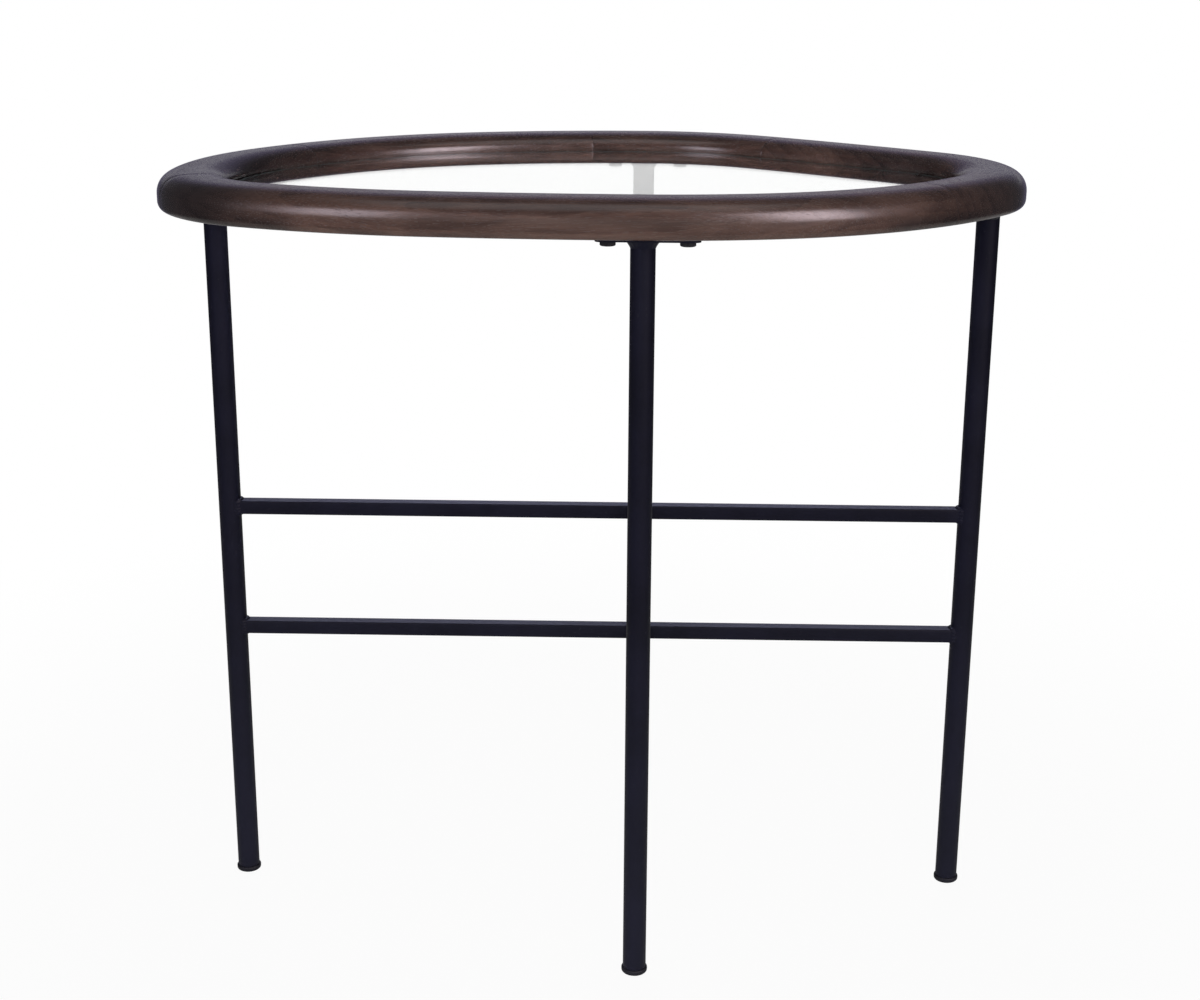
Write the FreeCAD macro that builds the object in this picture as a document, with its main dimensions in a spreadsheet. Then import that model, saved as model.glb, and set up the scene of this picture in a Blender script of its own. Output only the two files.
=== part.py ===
"""Pebble-shaped side table: segmented wooden rim, inset glass top and welded steel frame.

Millimetres. The origin is on the floor under the middle of the rim's outline.
+Z is up, +X is to the right and -Y is the front of the table.
"""
import FreeCAD
import Part
import Sketcher
import math
import os

Vector = FreeCAD.Vector
UP = Vector(0, 0, 1)

# Driving sizes, in millimetres and degrees
SIZES = {
    # overall height, and the legs' axes seen from above
    "table_height": 541.2,
    "leg_span_long": 534.2,
    "leg_span_short": 322.4,
    "cross_from_left": 297.1,
    "cross_from_front": 140.9,
    # section of the wooden rim
    "rim_width": 46,
    "rim_height": 24.2,
    "rim_top_radius": 12,
    "rim_bottom_radius": 3.5,
    "ledge_width": 10,
    "ledge_height": 6.5,
    "ledge_edge_radius": 2,
    # the rim's middle line passes the end legs by these lengths
    "left_overhang": 6.2,
    "right_overhang": 1.8,
    "left_end_forward": 29.4,
    "right_end_back": 8.6,
    # each quarter of the line: the radius of its middle arc, and the angles where that arc begins and
    # ends, as they would be on a quarter that is as long as it is deep
    "front_right_radius": 249,
    "front_right_begin_angle": 21.9,
    "front_right_end_angle": 64.1,
    "rear_right_radius": 1500,
    "rear_right_begin_angle": 41.4,
    "rear_right_end_angle": 47.3,
    "rear_left_radius": 273,
    "rear_left_begin_angle": 21.3,
    "rear_left_end_angle": 63.9,
    "front_left_radius": 387,
    "front_left_begin_angle": 13.6,
    "front_left_end_angle": 49.5,
    # glue joints of the rim, as lengths along its line from where it passes a leg
    "front_to_seam_right": 200,
    "rear_to_seam_right": 107,
    "rear_to_seam_left": 41,
    "left_to_seam_rear": 130,
    "left_to_seam_front": 36,
    "dowel_diameter": 8,
    "dowel_length": 40,
    "dowel_spacing": 24,
    "dowel_end_room": 1,
    # glass and its pads
    "glass_thickness": 5,
    "glass_side_gap": 1.5,
    "glass_edge_chamfer": 0.8,
    "pad_count": 8,
    "pad_diameter": 6,
    "pad_thickness": 1,
    "pad_turn": 2.3,
    # steel frame
    "leg_diameter": 16,
    "leg_wall": 1.5,
    "bar_side": 10,
    "upper_bar_level": 292.2,
    "lower_bar_level": 199.8,
    "plate_length": 66,
    "plate_width": 24,
    "plate_thickness": 2.5,
    "plate_corner_radius": 4,
    "plate_shift": 3,
    # fasteners
    "bolt_spacing": 50,
    "bolt_diameter": 6,
    "bolt_length": 16,
    "bolt_head_flats": 10,
    "bolt_head_height": 4,
    "bolt_hole_room": 0.6,
    "insert_diameter": 9,
    "insert_length": 13,
    "bolt_bore_room": 1,
    # welds
    "plate_weld_width": 3.8,
    "plate_weld_height": 5,
    "bar_weld_width": 1.8,
    "bar_weld_length": 2.6,
    "weld_edge": 0.4,
    # foot caps
    "foot_lip": 1,
    "foot_height": 4,
    "foot_edge_radius": 1.5,
    "foot_stem_length": 14,
    # room left between fitted curved faces
    "fit_gap": 0.1,
}

doc = FreeCAD.newDocument("SideTable")
sheet = doc.addObject("Spreadsheet::Sheet", "Sizes")
for row, (alias, value) in enumerate(SIZES.items(), start=1):
    sheet.set(f"A{row}", alias)
    sheet.set(f"B{row}", str(value))
    sheet.setAlias(f"B{row}", alias)
doc.recompute()


def size(alias):
    """One driving size, read from the sheet."""
    return float(sheet.get(alias))


# Levels and plan places worked out from the driving sizes, as expressions of the sheet
UNDERSIDE = "(Sizes.table_height - Sizes.rim_height)"
PLATE_BOTTOM = f"({UNDERSIDE} - Sizes.plate_thickness)"
LEG_X = {
    "left": "(Sizes.left_overhang - Sizes.right_overhang - Sizes.leg_span_long) / 2",
    "right": "(Sizes.left_overhang - Sizes.right_overhang + Sizes.leg_span_long) / 2",
}
LEG_X["front"] = LEG_X["rear"] = f"{LEG_X['left']} + Sizes.cross_from_left"
LEG_Y = {
    "front": "-Sizes.leg_span_short / 2",
    "rear": "Sizes.leg_span_short / 2",
}
LEG_Y["left"] = LEG_Y["right"] = f"{LEG_Y['front']} + Sizes.cross_from_front"

# The same levels and places as numbers, for the shapes made in code
underside = size("table_height") - size("rim_height")
ledge_top = underside + size("ledge_height")
glass_bottom = ledge_top + size("pad_thickness")
half_line_length = (size("leg_span_long") + size("left_overhang") + size("right_overhang")) / 2
half_line_depth = size("leg_span_short") / 2
left_x = size("left_overhang") - half_line_length
right_x = half_line_length - size("right_overhang")
cross_x = left_x + size("cross_from_left")
cross_y = size("cross_from_front") - half_line_depth
LEG_PLACES = {
    "front": Vector(cross_x, -half_line_depth, 0),
    "right": Vector(right_x, cross_y, 0),
    "rear": Vector(cross_x, half_line_depth, 0),
    "left": Vector(left_x, cross_y, 0),
}
# How far plates are shifted along the rim
PLATE_SHIFT = {"front": "plate_shift", "rear": "plate_shift"}
# Segments of the rim, anticlockwise from above, each with the glue joint that it begins at: the
# direction of the leg that the joint is measured from, which way, and the length
RIM_SEGMENTS = {
    "rim_right": (-90, 1, "front_to_seam_right"),
    "rim_rear_right": (90, -1, "rear_to_seam_right"),
    "rim_rear_left": (90, 1, "rear_to_seam_left"),
    "rim_left": (180, -1, "left_to_seam_rear"),
    "rim_front": (180, 1, "left_to_seam_front"),
}
# Lengths and angles nearer than this count as equal
SAME = 1e-6

nodes = []


def add_node(item, label):
    """Names a finished sub-part; the label is also the name of its file."""
    item.Label = label
    nodes.append(item)
    return item


def bind(item, **expressions):
    """Binds properties of a document object to expressions of the sheet."""
    for name, expression in expressions.items():
        item.setExpression(name.replace("__", "."), expression)
    return item


def place(item, x="0", y="0", z="0"):
    """Binds the place of a document object to expressions of the sheet."""
    return bind(item, Placement__Base__x=x, Placement__Base__y=y, Placement__Base__z=z)


def primitive(kind, name, **expressions):
    """A Part primitive whose sizes are bound to the sheet."""
    return bind(doc.addObject(f"Part::{kind}", name), **expressions)


def cut(name, base, *tools):
    """The base with each tool cut away in turn."""
    for index, tool in enumerate(tools):
        result = doc.addObject("Part::Cut", f"{name}_{index}")
        result.Base = base
        result.Tool = tool
        base = result
    return base


def fuse(name, base, tool):
    """Two overlapping solids joined in one."""
    result = doc.addObject("Part::Fuse", name)
    result.Base = base
    result.Tool = tool
    return result


def group(label, members):
    """Like solids that share one node."""
    result = doc.addObject("Part::Compound", label)
    result.Links = members
    return add_node(result, label)


def new_body(name):
    return doc.addObject("PartDesign::Body", name)


def new_sketch(body, name, role="XY_Plane"):
    """A sketch on one of the body's own origin planes."""
    plane = next(item for item in body.Origin.OriginFeatures if item.Role == role)
    sketch = body.newObject("Sketcher::SketchObject", name)
    sketch.AttachmentSupport = (plane, [""])
    sketch.MapMode = "FlatFace"
    return sketch


def add_circle(sketch, name, diameter, centre_x=None):
    """A circle on the sketch's horizontal axis, its diameter bound to the sheet."""
    circle = sketch.addGeometry(Part.Circle(Vector(0, 0, 0), UP, 1), False)
    if centre_x is None:
        sketch.addConstraint(Sketcher.Constraint("Coincident", circle, 3, -1, 1))
    else:
        sketch.addConstraint(Sketcher.Constraint("PointOnObject", circle, 3, -1))
        index = sketch.addConstraint(Sketcher.Constraint("DistanceX", -1, 1, circle, 3, 1))
        sketch.renameConstraint(index, f"{name}_x")
        sketch.setExpression(f"Constraints.{name}_x", centre_x)
    index = sketch.addConstraint(Sketcher.Constraint("Diameter", circle, 2))
    sketch.renameConstraint(index, name)
    sketch.setExpression(f"Constraints.{name}", diameter)


def add_rectangle(sketch, length, width):
    """A rectangle centred on the sketch's origin, its sides bound to the sheet."""
    corners = [Vector(-2, -1, 0), Vector(2, -1, 0), Vector(2, 1, 0), Vector(-2, 1, 0)]
    for corner, following in zip(corners, corners[1:] + corners[:1]):
        sketch.addGeometry(Part.LineSegment(corner, following), False)
    for side in range(4):
        sketch.addConstraint(Sketcher.Constraint("Coincident", side, 2, (side + 1) % 4, 1))
        direction = "Vertical" if side % 2 else "Horizontal"
        sketch.addConstraint(Sketcher.Constraint(direction, side))
    sketch.addConstraint(Sketcher.Constraint("Symmetric", 0, 1, 1, 2, -1, 1))
    for name, side, kind, expression in (("length", 0, "DistanceX", length),
                                         ("width", 1, "DistanceY", width)):
        index = sketch.addConstraint(Sketcher.Constraint(kind, side, 1, side, 2, 2))
        sketch.renameConstraint(index, name)
        sketch.setExpression(f"Constraints.{name}", expression)


def add_pad(body, sketch, name, length):
    pad = body.newObject("PartDesign::Pad", name)
    pad.Profile = sketch
    return bind(pad, Length=length)


def edges_where(feature, test):
    """Names of a feature's edges whose ends and middle all pass the test."""
    names = []
    for index, edge in enumerate(feature.Shape.Edges, start=1):
        points = [edge.valueAt(edge.FirstParameter + share * (edge.LastParameter - edge.FirstParameter))
                  for share in (0, 0.5, 1)]
        if all(test(point) for point in points):
            names.append(f"Edge{index}")
    return names


# The rim's middle line: twelve tangent arcs, three in each quarter
def quarter(name, along, across):
    """(radius, from turn, to turn) of three tangent arcs that turn a right angle over (along, across).

    The middle arc's radius is given, and its two angles are fitted to the quarter's shape. The
    first and the last radius are then the two unknowns of two linear equations, one for each
    direction.
    """
    angles = [math.radians(size(f"{name}_{side}_angle")) for side in ("begin", "end")]
    turns = [math.atan2(across * math.sin(angle), along * math.cos(angle)) for angle in angles]
    middle = size(f"{name}_radius")
    sine = [math.sin(turn) for turn in turns]
    cosine = [math.cos(turn) for turn in turns]
    along_left = along - middle * (sine[1] - sine[0])
    across_left = across - middle * (cosine[0] - cosine[1])
    scale = sine[0] * cosine[1] - (1 - sine[1]) * (1 - cosine[0])
    first = (along_left * cosine[1] - across_left * (1 - sine[1])) / scale
    last = (across_left * sine[0] - along_left * (1 - cosine[0])) / scale
    degrees = [0] + [math.degrees(turn) for turn in turns] + [90]
    return list(zip((first, middle, last), degrees, degrees[1:]))


def normal(direction):
    """Unit vector in plan at an angle in degrees from +X."""
    return Vector(math.cos(math.radians(direction)), math.sin(math.radians(direction)), 0)


def rim_line():
    """Arcs (centre, radius, from, to) once round, anticlockwise from the front leg.

    The angles are directions of the outward normal, so every point of the line has its own angle.
    """
    left_end_y = cross_y - size("left_end_forward")
    right_end_y = cross_y + size("right_end_back")
    to_right = half_line_length - cross_x
    to_left = half_line_length + cross_x
    quarters = (
        ("front_right", -90, False, to_right, half_line_depth + right_end_y),
        ("rear_right", 0, True, to_right, half_line_depth - right_end_y),
        ("rear_left", 90, False, to_left, half_line_depth - left_end_y),
        ("front_left", 180, True, to_left, half_line_depth + left_end_y),
    )
    arcs = []
    point = LEG_PLACES["front"]
    for name, start, backwards, along, across in quarters:
        steps = quarter(name, along, across)
        if backwards:
            steps = [(radius, 90 - end, 90 - begin) for radius, begin, end in reversed(steps)]
        for radius, begin, end in steps:
            centre = point - normal(start + begin) * radius
            arcs.append((centre, radius, start + begin, start + end))
            point = centre + normal(start + end) * radius
    return arcs


line = rim_line()


def point_at(direction, offset=0):
    """Point of the rim's line, or beside it, where the outward normal has this direction."""
    direction = (direction + 90) % 360 - 90
    for centre, radius, begin, end in line:
        if begin <= direction <= end:
            return centre + normal(direction) * (radius + offset)
    raise ValueError(f"no arc of the rim's line at {direction} degrees")


def length_to(direction):
    """Length of the line from the front leg to where its outward normal has this direction."""
    return sum(radius * math.radians(min(direction, end) - begin)
               for centre, radius, begin, end in line if begin < direction)


def direction_after(length):
    """Direction of the outward normal after this length of the line from the front leg."""
    for centre, radius, begin, end in line:
        direction = begin + math.degrees(length / radius)
        if direction <= end:
            return direction
        length -= radius * math.radians(end - begin)
    raise ValueError("the length is more than once round the rim")


def seam_direction(leg_direction, way, distance):
    """Direction of the outward normal at a glue joint of the rim."""
    return direction_after(length_to(leg_direction) + way * size(distance))


def normal_beside(spot):
    """Direction of the line's outward normal that passes through a spot near the line."""
    found = []
    for centre, radius, begin, end in line:
        arm = spot - centre
        direction = (math.degrees(math.atan2(arm.y, arm.x)) + 90 + SAME) % 360 - 90 - SAME
        if begin - SAME <= direction <= end + SAME:
            found.append((abs(arm.Length - radius), direction))
    return min(found)[1]


# Plates lie along the rim: their turn about Z, in degrees
PLATE_TURN = {name: round(normal_beside(spot) + 90, 6) % 180 for name, spot in LEG_PLACES.items()}


def offset_wire(offset, level):
    """Closed wire beside the rim's line, at one level."""
    edges = []
    for centre, radius, begin, end in line:
        points = [centre + normal(begin + share * (end - begin)) * (radius + offset) + UP * level
                  for share in (0, 0.5, 1)]
        edges.append(Part.Arc(*points).toShape())
    return Part.Wire(edges)


# Wooden rim segments
def rounded(centre, radius, begin, end):
    """Arc of the rim's section between two directions, in (offset, level)."""
    angles = [math.radians(begin + share * (end - begin)) for share in (0, 0.5, 1)]
    return [(centre[0] + radius * math.cos(angle), centre[1] + radius * math.sin(angle))
            for angle in angles]


def rim_section(centre, radius, direction):
    """Closed wire of the rim's section, in one direction from the centre of an arc of the line.

    Going round from the ledge's lower edge: flat underside, rounded outer edges, flat crest,
    rounded inner edge, wall down to the ledge, and the ledge that carries the glass.
    """
    outer = size("rim_width") / 2
    top = size("table_height")
    crest = size("rim_top_radius")
    foot = size("rim_bottom_radius")
    lip = size("ledge_edge_radius")
    ledge_end = -outer - size("ledge_width")
    corners = [
        rounded((outer - foot, underside + foot), foot, -90, 0),
        rounded((outer - crest, top - crest), crest, 0, 90),
        rounded((crest - outer, top - crest), crest, 90, 180),
        [(-outer, ledge_top)],
        [(ledge_end, ledge_top)],
        rounded((ledge_end + lip, underside + lip), lip, 180, 270),
    ]

    def in_space(spot):
        return centre + normal(direction) * (radius + spot[0]) + UP * spot[1]

    edges = []
    for corner, following in zip(corners, corners[1:] + corners[:1]):
        if len(corner) == 3:
            edges.append(Part.Arc(*[in_space(spot) for spot in corner]).toShape())
        edges.append(Part.LineSegment(in_space(corner[-1]), in_space(following[0])).toShape())
    return Part.Wire(edges)


def seam_dowels():
    """(middle, direction) of the two dowels across each glue joint."""
    places = []
    level = UP * (underside + size("rim_height") / 2)
    for seam in RIM_SEGMENTS.values():
        direction = seam_direction(*seam)
        for side in (-0.5, 0.5):
            middle = point_at(direction, side * size("dowel_spacing")) + level
            places.append((middle, normal(direction + 90)))
    return places


def bolt_places():
    """Plan places of the two bolts of each plate."""
    places = []
    for name, leg in LEG_PLACES.items():
        along = normal(PLATE_TURN[name])
        shift = size(PLATE_SHIFT[name]) if name in PLATE_SHIFT else 0
        for side in (-0.5, 0.5):
            places.append(leg + along * (shift + side * size("bolt_spacing")))
    return places


def rim_bores():
    """Bores for the dowels and for the threaded inserts."""
    gap = size("fit_gap")
    bores = []
    reach = size("dowel_length") / 2 + size("dowel_end_room")
    for middle, along in seam_dowels():
        bores.append(Part.makeCylinder(size("dowel_diameter") / 2 + gap, 2 * reach,
                                       middle - along * reach, along))
    bolt_reach = size("bolt_length") - size("plate_thickness")
    depth = max(size("insert_length"), bolt_reach) + size("bolt_bore_room")
    for spot in bolt_places():
        bores.append(Part.makeCylinder(size("insert_diameter") / 2 + gap, depth,
                                       spot + UP * underside, UP))
    return Part.makeCompound(bores)


def rim_segment(label, begin, end, bores):
    """The rim between two glue joints: the section turned about the centre of each arc in turn."""
    skin = []
    sections = []
    for lap in (0, 360):
        for centre, radius, arc_begin, arc_end in line:
            first = max(begin, arc_begin + lap)
            last = min(end, arc_end + lap)
            if last - first > SAME:
                section = rim_section(centre, radius, first)
                skin += section.revolve(centre, UP, last - first).Faces
                sections += [section, rim_section(centre, radius, last)]
    ends = [Part.Face(sections[0]), Part.Face(sections[-1])]
    shell = Part.makeCompound(skin + ends)
    shell.sewShape()
    segment = doc.addObject("Part::Feature", label)
    segment.Shape = Part.makeSolid(shell.Shells[0]).cut(bores).Solids[0]
    return add_node(segment, label)


def build_rim():
    bores = rim_bores()
    seams = [seam_direction(*seam) for seam in RIM_SEGMENTS.values()]
    for label, begin, end in zip(RIM_SEGMENTS, seams, seams[1:] + [seams[0] + 360]):
        rim_segment(label, begin, end, bores)

    dowels = []
    for index, (middle, along) in enumerate(seam_dowels()):
        dowel = primitive("Cylinder", f"dowel_{index}", Radius="Sizes.dowel_diameter / 2",
                          Height="Sizes.dowel_length")
        start = middle - along * (size("dowel_length") / 2)
        dowel.Placement = FreeCAD.Placement(start, FreeCAD.Rotation(UP, along))
        dowels.append(dowel)
    group("rim_dowels", dowels)


# Glass top and the clear pads that it rests on
def build_glass():
    setback = size("rim_width") / 2 + size("glass_side_gap")
    sheet_of_glass = Part.Face(offset_wire(-setback, glass_bottom))
    solid = sheet_of_glass.extrude(UP * size("glass_thickness"))
    level_edges = [edge for edge in solid.Edges if edge.BoundBox.ZLength < SAME]
    glass = doc.addObject("Part::Feature", "glass_top")
    glass.Shape = solid.makeChamfer(size("glass_edge_chamfer"), level_edges)
    add_node(glass, "glass_top")

    pads = []
    middle_of_ledge = -(size("rim_width") + size("ledge_width")) / 2
    pad_count = int(size("pad_count"))
    for index in range(pad_count):
        pad = primitive("Cylinder", f"pad_{index}", Radius="Sizes.pad_diameter / 2",
                        Height="Sizes.pad_thickness")
        direction = index * 360 / pad_count + size("pad_turn")
        pad.Placement.Base = point_at(direction, middle_of_ledge) + UP * ledge_top
        pads.append(pad)
    group("glass_pads", pads)


# Frame: legs, foot caps and plates
def build_leg(name):
    body = new_body(f"leg_{name}")
    sketch = new_sketch(body, f"leg_{name}_ring")
    add_circle(sketch, "outside", "Sizes.leg_diameter")
    add_circle(sketch, "bore", "Sizes.leg_diameter - 2 * Sizes.leg_wall")
    add_pad(body, sketch, f"leg_{name}_tube", f"{PLATE_BOTTOM} - Sizes.foot_height")
    place(body, LEG_X[name], LEG_Y[name], "Sizes.foot_height")
    add_node(body, f"leg_{name}")


def build_foot(name):
    """Cap under the leg's end, with a rounded lower edge and a stem inside the tube."""
    body = new_body(f"foot_{name}")
    cap_sketch = new_sketch(body, f"foot_{name}_disc")
    add_circle(cap_sketch, "disc", "Sizes.leg_diameter + 2 * Sizes.foot_lip")
    add_pad(body, cap_sketch, f"foot_{name}_cap", "Sizes.foot_height")
    stem_sketch = new_sketch(body, f"foot_{name}_core")
    add_circle(stem_sketch, "core", "Sizes.leg_diameter - 2 * Sizes.leg_wall - 2 * Sizes.fit_gap")
    stem = add_pad(body, stem_sketch, f"foot_{name}_stem", "Sizes.foot_height + Sizes.foot_stem_length")
    doc.recompute()
    edge = body.newObject("PartDesign::Fillet", f"foot_{name}_edge")
    edge.Base = (stem, edges_where(stem, lambda point: abs(point.z) < SAME))
    bind(edge, Radius="Sizes.foot_edge_radius")
    place(body, LEG_X[name], LEG_Y[name])
    add_node(body, f"foot_{name}")


def is_upright(feature, edge_name):
    """Whether an edge stands parallel to Z."""
    box = feature.Shape.getElement(edge_name).BoundBox
    return box.XLength < SAME and box.YLength < SAME


def build_plate(name):
    """Flat plate with two bolt holes; the leg is welded under it."""
    body = new_body(f"plate_{name}")
    outline = new_sketch(body, f"plate_{name}_outline")
    add_rectangle(outline, "Sizes.plate_length", "Sizes.plate_width")
    for hole, side in (("hole_left", -1), ("hole_right", 1)):
        add_circle(outline, hole, "Sizes.bolt_diameter + Sizes.bolt_hole_room",
                   f"{side} * Sizes.bolt_spacing / 2")
    flat = add_pad(body, outline, f"plate_{name}_flat", "Sizes.plate_thickness")
    doc.recompute()
    corner_reach = (size("bolt_spacing") + size("bolt_diameter")) / 2 + size("bolt_hole_room")
    corners = body.newObject("PartDesign::Fillet", f"plate_{name}_corners")
    upright = [edge for edge in edges_where(flat, lambda point: abs(point.x) > corner_reach)
               if is_upright(flat, edge)]
    corners.Base = (flat, upright)
    bind(corners, Radius="Sizes.plate_corner_radius")
    shift = f"Sizes.{PLATE_SHIFT[name]}" if name in PLATE_SHIFT else "0"
    body.Placement.Rotation = FreeCAD.Rotation(UP, PLATE_TURN[name])
    place(body, f"{LEG_X[name]} + {shift}", LEG_Y[name], PLATE_BOTTOM)
    add_node(body, f"plate_{name}")


# Frame: stretchers
BAR_LEVEL = {
    "upper": "(Sizes.upper_bar_level - Sizes.bar_side / 2)",
    "lower": "(Sizes.lower_bar_level - Sizes.bar_side / 2)",
}


def leg_cope(name, leg):
    """The space of a leg, which the end of a bar or of a weld is cut to."""
    cope = primitive("Cylinder", name, Radius="Sizes.leg_diameter / 2 + Sizes.fit_gap",
                     Height="Sizes.table_height")
    return place(cope, LEG_X[leg], LEG_Y[leg])


def build_stretchers(tier):
    """One long bar between the end legs, and two short bars from it to the front and rear legs."""
    level = BAR_LEVEL[tier]
    name = f"stretcher_{tier}"
    long_bar = primitive("Box", f"{name}_long_bar", Length="Sizes.leg_span_long",
                         Width="Sizes.bar_side", Height="Sizes.bar_side")
    place(long_bar, LEG_X["left"], f"{LEG_Y['left']} - Sizes.bar_side / 2", level)
    copes = [leg_cope(f"{name}_cope_{leg}", leg) for leg in ("left", "right")]
    add_node(cut(f"{name}_long_cut", long_bar, *copes), f"{name}_long")

    starts = {"front": LEG_Y["front"], "rear": f"{LEG_Y['left']} + Sizes.bar_side / 2"}
    lengths = {"front": "Sizes.cross_from_front", "rear": "Sizes.leg_span_short - Sizes.cross_from_front"}
    for leg in ("front", "rear"):
        short_bar = primitive("Box", f"{name}_{leg}_bar", Length="Sizes.bar_side",
                              Width=f"{lengths[leg]} - Sizes.bar_side / 2", Height="Sizes.bar_side")
        place(short_bar, f"{LEG_X[leg]} - Sizes.bar_side / 2", starts[leg], level)
        cope = leg_cope(f"{name}_cope_{leg}", leg)
        add_node(cut(f"{name}_{leg}_cut", short_bar, cope), f"{name}_{leg}")


# Welds
def plate_weld(name):
    """Flared collar of weld metal round the top of a leg, under its plate."""
    collar = primitive("Cone", f"plate_weld_{name}_collar",
                       Radius1="Sizes.leg_diameter / 2 + Sizes.fit_gap + Sizes.weld_edge",
                       Radius2="Sizes.leg_diameter / 2 + Sizes.plate_weld_width",
                       Height="Sizes.plate_weld_height")
    place(collar, LEG_X[name], LEG_Y[name], f"{PLATE_BOTTOM} - Sizes.plate_weld_height")
    return cut(f"plate_weld_{name}", collar, leg_cope(f"plate_weld_{name}_leg", name))


def bar_weld(name, turn, spot, level, begin, end):
    """Bead of weld metal round a bar: a square collar that thins out along the bar.

    The bar leaves the spot along the local Y axis, which is turned about Z. The collar lies
    between the begin and the end, as distances from the spot.
    """
    wide = "(Sizes.bar_side / 2 + Sizes.bar_weld_width)"
    thin = "(Sizes.bar_side / 2 + Sizes.weld_edge)"
    middle = f"({level} + Sizes.bar_side / 2)"
    collar = primitive("Wedge", f"{name}_collar", Ymin=begin, Ymax=end,
                       Xmin=f"-{wide}", Xmax=wide, Zmin=f"-{wide}", Zmax=wide,
                       X2min=f"-{thin}", X2max=thin, Z2min=f"-{thin}", Z2max=thin)
    bar = primitive("Box", f"{name}_bar", Length="Sizes.bar_side", Height="Sizes.bar_side", Width=end)
    for item in (collar, bar):
        item.Placement.Rotation = FreeCAD.Rotation(UP, turn)
    place(collar, spot[0], spot[1], middle)
    across = {0: ("-Sizes.bar_side / 2", "0"), 180: ("Sizes.bar_side / 2", "0"),
              90: ("0", "-Sizes.bar_side / 2"), -90: ("0", "Sizes.bar_side / 2")}[turn]
    place(bar, f"{spot[0]} + {across[0]}", f"{spot[1]} + {across[1]}", level)
    return cut(f"{name}_bead", collar, bar)


def build_welds():
    group("plate_welds", [plate_weld(name) for name in LEG_PLACES])

    beads = []
    # a bead on a leg begins inside it, half way to its axis, and is then cut to its round face
    at_leg = ("Sizes.leg_diameter / 4", "Sizes.leg_diameter / 2 + Sizes.bar_weld_length")
    at_bar = ("Sizes.bar_side / 2", "Sizes.bar_side / 2 + Sizes.bar_weld_length")
    cross = (LEG_X["front"], LEG_Y["left"])
    inward = {"left": -90, "right": 90, "front": 0, "rear": 180}
    for tier, level in BAR_LEVEL.items():
        for leg, turn in inward.items():
            name = f"weld_{tier}_{leg}"
            bead = bar_weld(name, turn, (LEG_X[leg], LEG_Y[leg]), level, *at_leg)
            beads.append(cut(f"{name}_end", bead, leg_cope(f"{name}_leg", leg)))
        for leg, turn in (("front", 180), ("rear", 0)):
            beads.append(bar_weld(f"weld_{tier}_cross_{leg}", turn, cross, level, *at_bar))
    group("stretcher_welds", beads)


# Fasteners
def build_fasteners():
    bolts = []
    inserts = []
    for index, spot in enumerate(bolt_places()):
        head = primitive("Prism", f"bolt_{index}_head", Circumradius="Sizes.bolt_head_flats / sqrt(3)",
                         Height="Sizes.bolt_head_height")
        head.Polygon = 6
        head.Placement.Base = Vector(spot.x, spot.y, 0)
        bind(head, Placement__Base__z=f"{PLATE_BOTTOM} - Sizes.bolt_head_height")
        shank = primitive("Cylinder", f"bolt_{index}_shank", Radius="Sizes.bolt_diameter / 2",
                          Height="Sizes.bolt_head_height + Sizes.bolt_length")
        shank.Placement.Base = Vector(spot.x, spot.y, 0)
        bind(shank, Placement__Base__z=f"{PLATE_BOTTOM} - Sizes.bolt_head_height")
        bolts.append(fuse(f"bolt_{index}", head, shank))

        sleeve = primitive("Cylinder", f"insert_{index}_sleeve", Radius="Sizes.insert_diameter / 2",
                           Height="Sizes.insert_length")
        bore = primitive("Cylinder", f"insert_{index}_bore",
                         Radius="Sizes.bolt_diameter / 2 + Sizes.fit_gap", Height="Sizes.insert_length")
        for item in (sleeve, bore):
            item.Placement.Base = Vector(spot.x, spot.y, 0)
            bind(item, Placement__Base__z=UNDERSIDE)
        inserts.append(cut(f"insert_{index}", sleeve, bore))
    group("plate_bolts", bolts)
    group("threaded_inserts", inserts)


build_rim()
build_glass()
for leg_name in LEG_PLACES:
    build_leg(leg_name)
    build_foot(leg_name)
    build_plate(leg_name)
for bar_tier in BAR_LEVEL:
    build_stretchers(bar_tier)
build_welds()
build_fasteners()
doc.recompute()

# Nothing is written unless every object and every shape is sound
for item in doc.Objects:
    if "Invalid" in item.State or "Error" in item.State:
        raise RuntimeError(f"{item.Name} failed: {item.State}")
for node in nodes:
    if node.Shape.isNull() or not node.Shape.isValid() or not node.Shape.Solids:
        raise RuntimeError(f"{node.Label} has no sound shape")

os.makedirs("parts", exist_ok=True)
for node in nodes:
    node.Shape.exportStep(f"parts/{node.Label}.step")
    print(f"{node.Label}: {len(node.Shape.Solids)} solid(s), {node.Shape.Volume:.0f} mm3")
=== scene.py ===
"""Dresses the packed side table: stained wooden rim, glass top and coated steel frame.

Metres, in the frame of the packed model. The origin is on the floor under the middle of the
rim's outline, +Z is up, +X is to the right and -Y is the front of the table.
"""
import math

import bmesh
import bpy
import numpy as np
from bpy.props import FloatProperty, FloatVectorProperty, IntProperty, PointerProperty
from mathutils import Matrix, Vector


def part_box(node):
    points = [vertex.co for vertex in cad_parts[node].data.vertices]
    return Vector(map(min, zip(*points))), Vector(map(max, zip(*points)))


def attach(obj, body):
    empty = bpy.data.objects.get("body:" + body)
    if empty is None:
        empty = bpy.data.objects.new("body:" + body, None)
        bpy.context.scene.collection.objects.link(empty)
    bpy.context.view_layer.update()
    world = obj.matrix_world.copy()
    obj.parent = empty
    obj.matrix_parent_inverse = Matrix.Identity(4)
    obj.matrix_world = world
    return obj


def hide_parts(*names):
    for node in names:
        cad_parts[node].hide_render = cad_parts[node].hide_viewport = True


bl_info = {
    "name": "Pebble side table",
    "version": (1, 0, 0),
    "blender": (4, 5, 0),
    "location": "3D View > Sidebar > Side table",
    "description": "Dresses the packed side table and sets up its studio",
    "category": "Object",
}

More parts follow.
